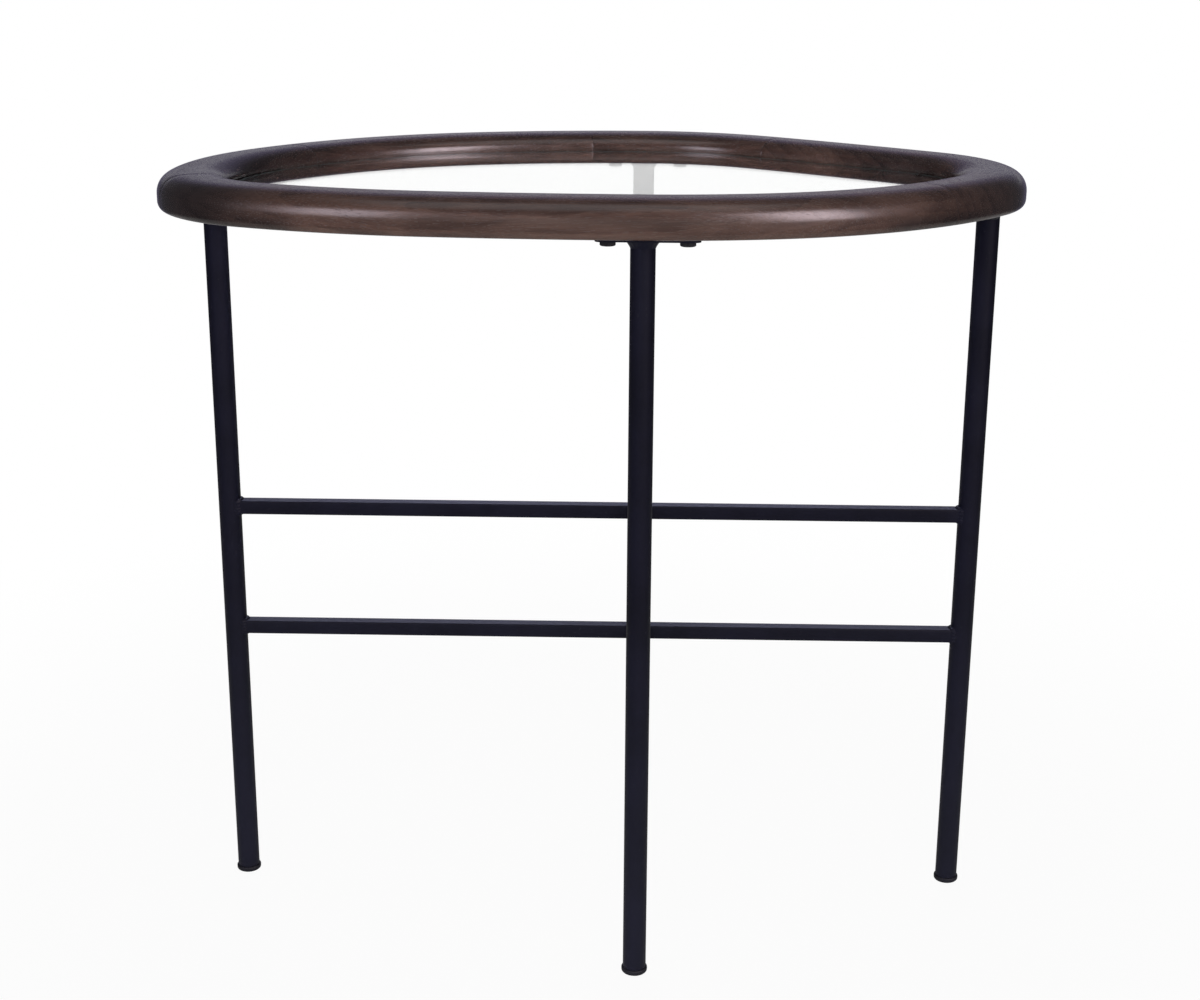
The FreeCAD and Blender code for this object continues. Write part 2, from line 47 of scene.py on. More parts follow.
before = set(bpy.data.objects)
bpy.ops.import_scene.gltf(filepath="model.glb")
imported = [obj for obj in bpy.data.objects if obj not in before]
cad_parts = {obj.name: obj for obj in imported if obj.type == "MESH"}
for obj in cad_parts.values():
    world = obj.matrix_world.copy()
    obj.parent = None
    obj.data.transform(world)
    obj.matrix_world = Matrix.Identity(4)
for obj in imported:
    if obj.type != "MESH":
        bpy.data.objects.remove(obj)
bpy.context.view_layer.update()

LEGS = ("front", "right", "rear", "left")
TIERS = ("upper", "lower")
MM = 0.001
# radius under which the end of a turned profile lies on the axis
ON_AXIS = 1e-9


def middle(node):
    """Middle of a packed node's box."""
    low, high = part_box(node)
    return np.array((low + high) / 2)


def level_range(node):
    """Lowest and highest level of a packed node."""
    low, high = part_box(node)
    return low.z, high.z


# Sizes, colours and studio settings that a user may change
def length(name, description, default):
    """A length in metres."""
    return FloatProperty(name=name, description=description, default=default, min=0, unit="LENGTH",
                         precision=5)


def colour(name, description, default):
    """A colour in linear values."""
    return FloatVectorProperty(name=name, description=description, default=default, size=3,
                               min=0, max=1, subtype="COLOR")


def power(name, description, default):
    """A lamp's power in watts."""
    return FloatProperty(name=name, description=description, default=default, min=0, unit="POWER")


class RimSizes(bpy.types.PropertyGroup):
    """Section of the wooden rim"""

    width: length("Width", "Width of the rim across its line", 46 * MM)
    round_height: length("Round height", "Height of the rounded upper part outside", 14.5 * MM)
    inner_height: length("Inner height", "Height of the rounded upper part inside", 10.5 * MM)
    fullness: FloatProperty(name="Fullness", description="How square the top is; 2 is an ellipse",
                            default=3.2, min=2, max=8)
    foot_height: length("Foot height", "Height of the rounded lower edge", 5 * MM)
    foot_width: length("Foot width", "Width of the rounded lower edge", 3.5 * MM)
    ledge_width: length("Ledge width", "Width of the ledge that carries the glass", 10 * MM)
    ledge_height: length("Ledge height", "Thickness of the ledge", 6.5 * MM)
    ledge_ease: length("Ledge ease", "Rounding of the ledge's upper edge", 0.6 * MM)
    ledge_lip: length("Ledge lip", "Rounding of the ledge's lower edge", 2 * MM)
    joint_depth: length("Joint depth", "Depth of the fine groove at a glue joint", 0.07 * MM)
    joint_width: length("Joint width", "Half the width of that groove", 0.35 * MM)


class FrameSizes(bpy.types.PropertyGroup):
    """Sizes of the steel frame and its fittings"""

    leg_diameter: length("Leg diameter", "Outside diameter of a leg's tube", 16 * MM)
    leg_wall: length("Leg wall", "Wall of a leg's tube", 1.5 * MM)
    bar_side: length("Bar side", "Side of the square stretchers", 10 * MM)
    bar_edge: length("Bar edge", "Rounding of a stretcher's long edges", 1.2 * MM)
    bead_width: length("Bead width", "How far a weld bead climbs the leg", 1.2 * MM)
    bead_length: length("Bead length", "How far a weld bead runs along the bar", 2.0 * MM)
    collar_width: length("Collar width", "How far the weld under a plate flares out", 3.7 * MM)
    collar_height: length("Collar height", "Height of the weld under a plate", 5 * MM)
    foot_lip: length("Foot lip", "How far a foot cap stands out past the leg", 1 * MM)
    foot_round: length("Foot round", "Rounding of a foot cap's lower edge", 1.8 * MM)
    head_flats: length("Head flats", "Bolt head across its flats", 10 * MM)
    bolt_diameter: length("Bolt diameter", "Diameter of a bolt's shank", 6 * MM)
    bolt_spacing: length("Bolt spacing", "Distance between the two bolts of a plate", 50 * MM)


class GlassSizes(bpy.types.PropertyGroup):
    """Sizes of the glass top"""

    side_gap: length("Side gap", "Room between the glass and the rim's wall", 1.5 * MM)
    edge_round: length("Edge round", "Ground edge of the glass", 0.3 * MM)
    outline_steps: IntProperty(name="Outline steps", description="Points round the outline",
                               default=720, min=90, max=2000)


class Finishes(bpy.types.PropertyGroup):
    """Colours of the table"""

    wood_dark: colour("Wood dark", "Late wood and pores of the stained rim", (0.030, 0.0150, 0.0125))
    wood_light: colour("Wood light", "Early wood of the stained rim", (0.105, 0.0585, 0.046))
    coat: colour("Coat", "Powder coat of the steel frame", (0.0049, 0.0049, 0.0125))
    # painted light: a painted sheen on the frame's upward faces, and painted light from the floor low
    # down
    painted_light_tint: colour("Settled dust", "Dust on the frame's upward faces and low down",
                    (0.088, 0.092, 0.142))
    bolt: colour("Bolt", "Blackened bolts", (0.012, 0.012, 0.015))
    foot: colour("Foot", "Plastic foot caps", (0.0095, 0.0095, 0.0150))
    brass: colour("Brass", "Threaded inserts", (0.60, 0.42, 0.17))
    dowel: colour("Dowel", "Dowels inside the rim", (0.55, 0.38, 0.22))
    glass: colour("Glass", "Body of the glass", (0.975, 0.985, 0.98))
    glass_edge: colour("Glass edge", "Ground edge of the glass", (0.020, 0.032, 0.030))
    pad: colour("Pad", "Clear pads under the glass", (0.93, 0.94, 0.94))


class StudioSettings(bpy.types.PropertyGroup):
    """Light and camera"""

    lens: FloatProperty(name="Lens", description="Focal length of the camera", default=59.3086,
                        unit="CAMERA", subtype="DISTANCE_CAMERA")
    left_power: power("Left softbox", "Power of the softbox at the left front", 28)
    right_power: power("Right softbox", "Power of the tall softbox at the right front", 72)
    front_power: power("Front softbox", "Power of the softbox behind the camera", 44)
    rear_power: power("Rear softbox", "Power of the softbox behind the table", 26)
    top_power: power("Top softbox", "Power of the softbox overhead", 8)
    ambient: FloatProperty(name="Ambient", description="Light from all round", default=0.10, min=0)
    floor: colour("Floor", "Pale floor", (0.66, 0.66, 0.66))


# Grids, and pieces made of them
def grid_faces(rows, columns, rows_closed=False, columns_closed=True):
    """Quads of a grid of points that lie row after row; each direction may close on itself."""
    row = np.arange(rows if rows_closed else rows - 1)[:, None]
    column = np.arange(columns if columns_closed else columns - 1)[None, :]
    below, after = (row + 1) % rows, (column + 1) % columns
    corners = (row * columns + column, row * columns + after, below * columns + after,
               below * columns + column)
    return np.stack(np.broadcast_arrays(*corners), axis=-1).reshape(-1, 4)


def turned(profile, steps, ripple=None):
    """Surface of revolution round the Z axis.

    Point (r, z) of the profile at the angle a goes to (r cos a, r sin a, z), where the ripple, a
    function of the angle, scales r. A profile whose two ends lie on the axis is closed there with
    a fan, and any other is a ring that closes on itself.
    """
    profile = np.asarray(profile, float)
    angle = np.arange(steps) * (2 * np.pi / steps)
    poles = profile[[0, -1], 0].max() < ON_AXIS
    ring = profile[1:-1] if poles else profile
    radius = ring[:, :1] * (np.ones(steps) if ripple is None else ripple(angle))[None, :]
    points = np.stack((radius * np.cos(angle), radius * np.sin(angle),
                       np.repeat(ring[:, 1:], steps, axis=1)), axis=-1).reshape(-1, 3)
    faces = grid_faces(len(ring), steps, rows_closed=not poles).tolist()
    if poles:
        first, last = len(points), len(points) + 1
        points = np.vstack((points, (0, 0, profile[0, 1]), (0, 0, profile[-1, 1])))
        edge = np.arange(steps)
        following = (edge + 1) % steps
        end = (len(ring) - 1) * steps
        faces += np.stack((np.full(steps, first), following, edge), axis=-1).tolist()
        faces += np.stack((np.full(steps, last), end + edge, end + following), axis=-1).tolist()
    return points, faces


def joined(shapes):
    """Several shapes as one list of points and one of faces."""
    starts = np.cumsum([0] + [len(points) for points, faces in shapes])
    points = np.vstack([points for points, faces in shapes])
    faces = [[start + index for index in face]
             for start, shape in zip(starts, shapes) for face in shape[1]]
    return points, faces


def moved(shape, spot):
    """A shape carried to a spot."""
    points, faces = shape
    return points + np.asarray(spot, float), faces


def add_piece(name, shape, materials, body, nodes, sharp=35.0):
    """A finished piece: faces turned outwards, shaded smooth up to the sharp angle in degrees."""
    points, faces = shape
    mesh = bpy.data.meshes.new(name)
    mesh.from_pydata(points, [], faces)
    work = bmesh.new()
    work.from_mesh(mesh)
    bmesh.ops.recalc_face_normals(work, faces=work.faces)
    work.to_mesh(mesh)
    work.free()
    mesh.shade_smooth()
    mesh.set_sharp_from_angle(angle=math.radians(sharp))
    for material in materials:
        mesh.materials.append(material)
    piece = bpy.data.objects.new(name, mesh)
    bpy.context.scene.collection.objects.link(piece)
    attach(piece, body)
    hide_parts(*nodes)
    return piece


# The rim's middle line: twelve tangent arcs, three in each quarter between two legs or rim ends
HALF_LENGTH = 271.1 * MM
HALF_DEPTH = 161.2 * MM
CROSS_X = 32.2 * MM
LEFT_END_Y = -49.7 * MM
RIGHT_END_Y = -11.7 * MM
# start direction, whether it runs backwards, length, depth, middle radius, begin and end angle
QUARTERS = (
    (-90, False, HALF_LENGTH - CROSS_X, HALF_DEPTH + RIGHT_END_Y, 249 * MM, 21.9, 64.1),
    (0, True, HALF_LENGTH - CROSS_X, HALF_DEPTH - RIGHT_END_Y, 1500 * MM, 41.4, 47.3),
    (90, False, HALF_LENGTH + CROSS_X, HALF_DEPTH - LEFT_END_Y, 273 * MM, 21.3, 63.9),
    (180, True, HALF_LENGTH + CROSS_X, HALF_DEPTH + LEFT_END_Y, 387 * MM, 13.6, 49.5),
)
# glue joints: the quarter that each is measured from, and the length along the line
JOINTS = ((0, 200 * MM), (2, -107 * MM), (2, 41 * MM), (3, -130 * MM), (3, 36 * MM))
# segments from the first joint on, each with the tone and the gloss of its board
SEGMENTS = {"rim_right": (0.92, 0.21), "rim_rear_right": (0.82, 0.18), "rim_rear_left": (0.84, 0.18),
            "rim_left": (0.80, 0.21), "rim_front": (1.0, 0.21)}
# longest step between two sections along the line
RIM_STEP = 3.5 * MM


def quarter_arcs(along, across, radius, begin, end):
    """Radii and turns of three tangent arcs that turn a right angle over (along, across).

    The middle radius is given. The first and the last one solve two linear equations, one for
    each direction.
    """
    angles = np.radians((begin, end))
    turns = np.arctan2(across * np.sin(angles), along * np.cos(angles))
    (sine_1, sine_2), (cosine_1, cosine_2) = np.sin(turns), np.cos(turns)
    along_left = along - radius * (sine_2 - sine_1)
    across_left = across - radius * (cosine_1 - cosine_2)
    scale = sine_1 * cosine_2 - (1 - sine_2) * (1 - cosine_1)
    first = (along_left * cosine_2 - across_left * (1 - sine_2)) / scale
    last = (across_left * sine_1 - along_left * (1 - cosine_1)) / scale
    return (first, radius, last), (0.0, turns[0], turns[1], math.pi / 2)


def rim_line():
    """Centres, radii, first directions and lengths so far of the line's arcs, from the front leg."""
    centres, radii, begins, lengths = [], [], [], [0.0]
    spot = np.array((CROSS_X, -HALF_DEPTH))
    for start, backwards, *sizes in QUARTERS:
        arc_radii, turns = quarter_arcs(*sizes)
        if backwards:
            arc_radii = arc_radii[::-1]
            turns = [math.pi / 2 - turn for turn in reversed(turns)]
        for radius, turn, following in zip(arc_radii, turns, turns[1:]):
            begin, end = (math.radians(start) + angle for angle in (turn, following))
            centre = spot - radius * np.array((math.cos(begin), math.sin(begin)))
            spot = centre + radius * np.array((math.cos(end), math.sin(end)))
            centres.append(centre)
            radii.append(radius)
            begins.append(begin)
            lengths.append(lengths[-1] + radius * (end - begin))
    return np.array(centres), np.array(radii), np.array(begins), np.array(lengths)


CENTRES, RADII, BEGINS, LENGTHS = rim_line()
ONCE_ROUND = LENGTHS[-1]


def beside_line(along, offset):
    """Plan points at lengths along the rim's line and offsets to its outer side.

    The arc that holds the length gives the direction of the normal, its first direction plus the
    length in the arc over its radius. The point is the arc's centre plus the normal times the
    radius and the offset.
    """
    along = np.asarray(along, float) % ONCE_ROUND
    arc = np.clip(np.searchsorted(LENGTHS, along, side="right") - 1, 0, len(RADII) - 1)
    direction = BEGINS[arc] + (along - LENGTHS[arc]) / RADII[arc]
    reach = RADII[arc] + offset
    return CENTRES[arc, 0] + reach * np.cos(direction), CENTRES[arc, 1] + reach * np.sin(direction)


def normal_beside(spot):
    """Outward normal of the rim's line through a spot near it, from the arc that passes nearest."""
    arm = np.asarray(spot, float) - CENTRES
    direction = np.arctan2(arm[:, 1], arm[:, 0])
    turn = np.diff(LENGTHS) / RADII
    slack = 1e-6
    within = (direction - BEGINS + slack) % (2 * np.pi) <= turn + 2 * slack
    miss = np.where(within, np.abs(np.hypot(*arm.T) - RADII), np.inf)
    best = direction[np.argmin(miss)]
    return np.array((math.cos(best), math.sin(best)))


def arc_points(centre, radii, begin, end, count):
    """Points of an ellipse's arc between two angles in degrees."""
    angle = np.radians(np.linspace(begin, end, count))
    return centre + np.stack((radii[0] * np.cos(angle), radii[1] * np.sin(angle)), -1)


def rim_section(sizes, underside, top):
    """Closed section of the rim as (offset, level), anticlockwise from the lower outer edge.

    The upper part is a superellipse: the offset is half the width times the cosine of the angle
    to the power 2 / fullness, and the level rises with the sine. Below it lie an elliptic lower
    edge outside, and inside a wall down to the ledge that carries the glass.
    """
    half = sizes.width / 2
    ledge = underside + sizes.ledge_height
    end = -half - sizes.ledge_width
    ease, lip = sizes.ledge_ease, sizes.ledge_lip
    lower = arc_points((half - sizes.foot_width, underside + sizes.foot_height),
                       (sizes.foot_width, sizes.foot_height), -90, 0, count=12)
    angle = np.linspace(0, np.pi, num=57)
    cosine = np.cos(angle)
    rise = np.where(cosine > 0, sizes.round_height, sizes.inner_height)
    upper = np.stack((half * np.sign(cosine) * np.abs(cosine) ** (2 / sizes.fullness),
                      top - rise * (1 - np.sin(angle))), -1)
    corner = arc_points((-half - ease, ledge + ease), (ease, ease), 0, -90, count=5)
    edge = arc_points((end + ease, ledge - ease), (ease, ease), 90, 180, count=5)
    under = arc_points((end + lip, underside + lip), (lip, lip), 180, 270, count=7)
    below = np.linspace(end + lip, half - sizes.foot_width, num=9)[1:-1]
    flat = np.stack((below, np.full_like(below, underside)), -1)
    return np.vstack((lower, upper, corner, edge, under, flat))


def rim_segment(sizes, section, begin, end):
    """The section carried along the line between two glue joints, and each point's way to a joint.

    At the joints the section shrinks along its own normals by the groove's depth, so two
    segments meet in a fine groove.
    """
    run = end - begin
    rim = np.linspace(sizes.joint_width, run - sizes.joint_width, int(run / RIM_STEP))
    along = np.concatenate(([0, sizes.joint_width / 2], rim, [run - sizes.joint_width / 2, run]))
    way = np.minimum(along, run - along)
    inset = sizes.joint_depth * np.clip(1 - way / sizes.joint_width, 0, 1)[:, None]
    tangent = np.roll(section, -1, axis=0) - np.roll(section, 1, axis=0)
    tangent /= np.linalg.norm(tangent, axis=1, keepdims=True)
    offset = section[None, :, 0] - inset * tangent[None, :, 1]
    level = section[None, :, 1] + inset * tangent[None, :, 0]
    x, y = beside_line((begin + along)[:, None], offset)
    points = np.stack((x, y, level), -1).reshape(-1, 3)
    rows, columns = len(along), len(section)
    faces = grid_faces(rows, columns).tolist()
    faces += [list(range(columns)), list(range(rows * columns - 1, (rows - 1) * columns - 1, -1))]
    return (points, faces), np.repeat(way, columns)


def smooth_step(value, begin, end):
    """A smooth rise from 0 at the beginning to 1 at the end."""
    share = np.clip((value - begin) / (end - begin), 0, 1)
    return share * share * (3 - 2 * share)


# Darkening of the rim, most of it painted shade: how deep each part of it is, and where it begins
# and is full, in metres, by each measure
DARKENING_AND_SHADE = (
    (1.0, {"x": (-0.168, -0.253)}),
    (0.85, {"x": (0.205, 0.285)}),
    (0.75, {"x": (0.165, 0.215), "y": (0.0, 0.03), "inwards": (0.006, 0.018)}),
    (0.8, {"from the middle": (0.172, 0.200), "height": (0.012, 0.006), "outwards": (0.008, 0.018)}),
)


def rim_darkening_and_shade(points, offset):
    """How dark the rim is made at points of it, from 0 to 1.

    A part of it is its depth times a smooth step of each measure that it names. The parts are the
    left end and the right end, darker towards their tips, mostly painted shade where they turn from
    the light; the inner side at the right rear, painted shade in the hollow near the right end; and
    the lower outer edge near both ends, painted shade where the rim curves under. At each point the
    deepest part counts.
    """
    x, y, level = points.T
    measures = {"x": x, "y": y, "from the middle": np.abs(x), "height": level - level.min(),
                "outwards": offset, "inwards": -offset}
    return np.max([depth * np.prod([smooth_step(measures[name], *reach)
                                    for name, reach in steps.items()], axis=0)
                   for depth, steps in DARKENING_AND_SHADE], axis=0)


# Shader nodes and the effects that several finishes share
def plug(tree, sockets, given):
    """Sets sockets, by name or number, to values, or links them to other sockets."""
    for name, value in given.items():
        if isinstance(value, bpy.types.NodeSocket):
            tree.links.new(value, sockets[name])
        else:
            sockets[name].default_value = value


def add_node(tree, kind, given=None, **settings):
    """A shader node with its settings and its inputs."""
    node = tree.nodes.new(kind)
    for name, value in settings.items():
        setattr(node, name, value)
    plug(tree, node.inputs, given or {})
    return node


def calculated(tree, operation, *values, clamp=False):
    """Output of a Math node."""
    return add_node(tree, "ShaderNodeMath", dict(enumerate(values)), operation=operation,
                    use_clamp=clamp).outputs[0]


def weighed(tree, parts, start=0.0):
    """Start plus the sum of values, each times its weight."""
    total = start
    for value, weight in parts:
        total = calculated(tree, "MULTIPLY_ADD", value, weight, total)
    return total


def ranged(tree, value, low, high, to_low=0.0, to_high=1.0):
    """Output of a smooth Map Range node."""
    return add_node(tree, "ShaderNodeMapRange",
                    {"Value": value, "From Min": low, "From Max": high, "To Min": to_low,
                     "To Max": to_high}, interpolation_type="SMOOTHSTEP").outputs[0]


def ranged_grey(tree, value, low, high, to_low, to_high):
    """A grey whose level follows a value."""
    level = ranged(tree, value, low, high, to_low, to_high)
    return add_node(tree, "ShaderNodeCombineColor", {0: level, 1: level, 2: level}).outputs[0]


def blended(tree, factor, first, second, blend="MIX"):
    """Output of a Mix node for colours."""
    return add_node(tree, "ShaderNodeMix", {0: factor, 6: first, 7: second}, data_type="RGBA",
                    blend_type=blend).outputs[2]


def noise(tree, vector, scale, detail=2.0, roughness=0.5, distortion=0.0):
    """Value of a Noise texture, whose scale is one number or one for each axis."""
    if isinstance(scale, tuple):
        vector = add_node(tree, "ShaderNodeVectorMath", {0: vector, 1: scale},
                          operation="MULTIPLY").outputs[0]
        scale = 1.0
    return add_node(tree, "ShaderNodeTexNoise",
                    {"Vector": vector, "Scale": scale, "Detail": detail, "Roughness": roughness,
                     "Distortion": distortion}).outputs[0]


def rgba(values, share=1.0):
    """A colour, or a share of it, with full cover."""
    return (*(share * value for value in values), 1.0)


def grey(level):
    """A grey with full cover."""
    return (level, level, level, 1.0)


# what each finish's group of nodes puts out
FINISH_OUTPUTS = {"Color": "Color", "Roughness": "Float", "Height": "Float"}


def new_group(name, inputs):
    """An empty node group with named sockets; returns it, its inputs and its output node's sockets."""
    tree = bpy.data.node_groups.new(name, "ShaderNodeTree")
    for way, sockets in (("INPUT", inputs), ("OUTPUT", FINISH_OUTPUTS)):
        for label, kind in sockets.items():
            tree.interface.new_socket(name=label, in_out=way, socket_type=f"NodeSocket{kind}")
    return tree, tree.nodes.new("NodeGroupInput").outputs, tree.nodes.new("NodeGroupOutput").inputs


# Grain: cycles in a metre along the board and across it, and how far the rings sway, in metres
SWAYS = (5, 26, 26)
STREAKS = (9, 260, 260)
FIBRES = (40, 1500, 1500)
PORES = (150, 1900, 1900)
CLOUDS = (14, 40, 40)
RINGS = 42.0
SWAY_REACH = (0, 0.016, 0.022)


def wood_grain():
    """Grain of a straight board along X: rings round an axis beside it, fibres, pores and clouds."""
    name = "wood grain"
    if name in bpy.data.node_groups:
        return bpy.data.node_groups[name]
    tree, given, result = new_group(name, {"Board": "Vector", "Dark": "Color", "Light": "Color",
                                           "Tone": "Float", "Gloss": "Float"})
    board = given["Board"]
    bent = add_node(tree, "ShaderNodeVectorMath",
                    {0: noise(tree, board, SWAYS), 1: SWAY_REACH, 2: board},
                    operation="MULTIPLY_ADD").outputs[0]
    rings = add_node(tree, "ShaderNodeTexWave",
                     {"Vector": bent, "Scale": RINGS, "Distortion": 1.5, "Detail": 2.0,
                      "Detail Scale": 1.2, "Detail Roughness": 0.6},
                     wave_type="RINGS", rings_direction="X", wave_profile="SAW").outputs[1]
    streak = noise(tree, bent, STREAKS, detail=3.0, roughness=0.6)
    fibre = noise(tree, bent, FIBRES, roughness=0.6)
    pores = ranged(tree, noise(tree, bent, PORES, detail=1.0), 0.60, 0.72)
    cloud = noise(tree, board, CLOUDS, roughness=0.55, distortion=0.4)
    mixed = weighed(tree, ((rings, 0.22), (streak, 0.75), (ranged(tree, cloud, 0.28, 0.72), 0.42)))
    factor = ranged(tree, calculated(tree, "MULTIPLY", mixed, given["Tone"]), 0.12, 1.05)
    body = blended(tree, factor, given["Dark"], given["Light"])
    fibred = blended(tree, 0.35, body, ranged_grey(tree, fibre, 0.25, 0.75, 0.55, 1.35), "MULTIPLY")
    plug(tree, result, {
        "Color": blended(tree, calculated(tree, "MULTIPLY", pores, 0.5), fibred, given["Dark"]),
        "Roughness": weighed(tree, ((cloud, 0.10), (pores, 0.12)), given["Gloss"]),
        "Height": weighed(tree, ((fibre, 0.5), (pores, -0.7), (streak, 0.8)))})
    return tree


# Skin: cycles in a metre of its mottling and of its specks, and the specks' colour
MOTTLING = 22.0
SPECKS = 420.0
SPECK_TINT = (0.16, 0.15, 0.15, 1)


def coat_skin():
    """Skin of a sprayed or moulded finish: fine waves, faint mottling and a few dull specks."""
    name = "coat skin"
    if name in bpy.data.node_groups:
        return bpy.data.node_groups[name]
    tree, given, result = new_group(name, {"Vector": "Vector", "Color": "Color", "Dust": "Float",
                                           "Waves per metre": "Float", "Gloss": "Float"})
    vector = given["Vector"]
    peel = noise(tree, vector, given["Waves per metre"], detail=1.0)
    cloud = noise(tree, vector, MOTTLING, detail=3.0, roughness=0.6)
    speck = ranged(tree, noise(tree, vector, SPECKS, roughness=0.7), 0.66, 0.76)
    mottled = ranged_grey(tree, cloud, 0.3, 0.7, 0.8, 1.25)
    tone = blended(tree, 1.0, given["Color"], mottled, "MULTIPLY")
    plug(tree, result, {
        "Color": blended(tree, calculated(tree, "MULTIPLY", speck, given["Dust"]), tone, SPECK_TINT),
        "Roughness": weighed(tree, ((cloud, 0.12), (peel, 0.06)), given["Gloss"]),
        "Height": peel})
    return tree


def new_material(name, constants):
    """A material, its tree, its shader with constants on its sockets, and the object coordinates."""
    material = bpy.data.materials.new(name)
    material.use_nodes = True
    tree = material.node_tree
    shader = tree.nodes["Principled BSDF"]
    plug(tree, shader.inputs, constants)
    return material, tree, shader, tree.nodes.new("ShaderNodeTexCoord").outputs["Object"]


def finish_shader(tree, shader, color, skin, depth, strength):
    """Feeds the shader a colour, and roughness and bump from a finish's group; depth is in metres."""
    bump = add_node(tree, "ShaderNodeBump", {"Height": skin["Height"], "Distance": depth,
                                             "Strength": strength}).outputs[0]
    plug(tree, shader.inputs, {"Base Color": color, "Roughness": skin["Roughness"], "Normal": bump})


# what the deepest darkening and painted shade do to the wood's colour, and how far the dirt of a
# glue joint reaches
DARKENING_AND_SHADE_TINT = (0.24, 0.28, 0.34, 1)
DIRT_REACH = 0.45 * MM


def wood_material(name, colours, turn, shift, tone, gloss, joined_up=True):
    """Wood of one straight board, turned to lie along its piece.

    Where it is joined up, the piece's own attributes give the darkening and painted shade, and the
    dirt at its joints.
    """
    material, tree, shader, place = new_material(name, {"Specular IOR Level": 0.5})
    board = add_node(tree, "ShaderNodeMapping", {"Vector": place, "Location": shift,
                                                 "Rotation": (0.0, 0.0, -turn)}).outputs[0]
    dark, light = colours
    grain = add_node(tree, "ShaderNodeGroup",
                     {"Board": board, "Dark": rgba(dark), "Light": rgba(light), "Tone": tone,
                      "Gloss": gloss}, node_tree=wood_grain()).outputs
    color = grain["Color"]
    if joined_up:
        stain, way = (add_node(tree, "ShaderNodeAttribute", attribute_name=label).outputs["Fac"]
                      for label in ("stain", "way_to_joint"))
        # painted shade: darker towards the rim's ends, in the hollow at the right rear and on the lower
        # outer edge
        color = blended(tree, stain, color, DARKENING_AND_SHADE_TINT, "MULTIPLY")
        color = blended(tree, ranged(tree, way, 0.0, DIRT_REACH, 0.5, 0.0), color, rgba(dark, 0.3))
    finish_shader(tree, shader, color, grain, 0.05 * MM, 0.8)
    return material


# how level a face is where its painted sheen begins and where it is full, and how high and how much
# the frame is painted lighter near the floor, as painted light from the pale floor
SHEEN_LEVELS = (0.85, 0.98)
FLOOR_LIGHT_HEIGHT = 0.32
FLOOR_LIGHT_SHARE = 0.08


def coated_material(name, tint, waves=900.0, gloss=0.40, dust=0.05, depth=0.04 * MM, level=0.11,
                    metallic=0.0, painted_light_tint=None):
    """Sprayed, blackened or moulded finish; painted_light_tint colours a painted sheen on upward faces
    and painted light from the floor low down.
    """
    material, tree, shader, place = new_material(name, {"Specular IOR Level": level,
                                                        "Metallic": metallic})
    skin = add_node(tree, "ShaderNodeGroup",
                    {"Vector": place, "Color": rgba(tint), "Waves per metre": waves, "Gloss": gloss,
                     "Dust": dust}, node_tree=coat_skin()).outputs
    color = skin["Color"]
    if painted_light_tint:
        facing = tree.nodes.new("ShaderNodeNewGeometry").outputs["Normal"]
        upward, height = (add_node(tree, "ShaderNodeSeparateXYZ", {0: vector}).outputs["Z"]
                          for vector in (facing, place))
        # painted light: lighter on upward faces as a painted sheen, and lighter near the floor as
        # painted light from it
        share = calculated(tree, "MAXIMUM", ranged(tree, upward, *SHEEN_LEVELS),
                           ranged(tree, height, 0.0, FLOOR_LIGHT_HEIGHT, FLOOR_LIGHT_SHARE, 0.0))
        color = blended(tree, share, color, rgba(painted_light_tint))
    finish_shader(tree, shader, color, skin, depth, 0.6)
    return material


def coat_material():
    """Powder coat of the steel frame, made once."""
    finishes = bpy.context.scene.table_finishes
    made = bpy.data.materials.get("frame coat")
    return made or coated_material("frame coat", finishes.coat, painted_light_tint=finishes.painted_light_tint)


# Dust on the glass: cycles in a metre of its specks and of the drifts they lie in, and its colour
DUST_SPECKS = 900.0
DUST_DRIFTS = 9.0
GLASS_DUST = (0.55, 0.54, 0.50, 1)


def glass_material(tint, dust):
    """Clear glass with specks of dust that lie in drifts."""
    material, tree, shader, place = new_material("clear glass", {"Transmission Weight": 1.0,
                                                                 "IOR": 1.5})
    fine = ranged(tree, noise(tree, place, DUST_SPECKS, roughness=0.6), 0.60, 0.70)
    drift = ranged(tree, noise(tree, place, DUST_DRIFTS, detail=3.0, roughness=0.6), 0.45, 0.7)
    seen = calculated(tree, "MULTIPLY", calculated(tree, "MULTIPLY", fine, drift), dust)
    plug(tree, shader.inputs, {"Base Color": blended(tree, seen, rgba(tint), GLASS_DUST),
                               "Roughness": calculated(tree, "MULTIPLY", seen, 0.2)})
    return material


def ground_edge_material(tint):
    """Matt edge of the glass, dark as light is lost inside the sheet."""
    material, tree, shader, place = new_material("ground glass edge", {"Roughness": 0.5,
                                                                       "Specular IOR Level": 0.2})
    cloud = noise(tree, place, scale=260.0)
    plug(tree, shader.inputs, {"Base Color": blended(tree, cloud, rgba(tint, 0.6), rgba(tint))})
    return material


# the pads' colour where they are haziest
PAD_HAZE = (0.85, 0.86, 0.86, 1)


def pad_material(tint):
    """Clear and slightly hazy silicone."""
    material, tree, shader, place = new_material("clear pads", {"Transmission Weight": 1.0,
                                                                "IOR": 1.41})
    haze = noise(tree, place, scale=600.0)
    plug(tree, shader.inputs, {"Base Color": blended(tree, haze, rgba(tint), PAD_HAZE),
                               "Roughness": ranged(tree, haze, 0.2, 0.8, 0.04, 0.12)})
    return material


# Operators: one for each piece or group of like pieces
class PieceOperator(bpy.types.Operator):
    """Shared settings of the operators"""

    bl_options = {"REGISTER", "UNDO"}


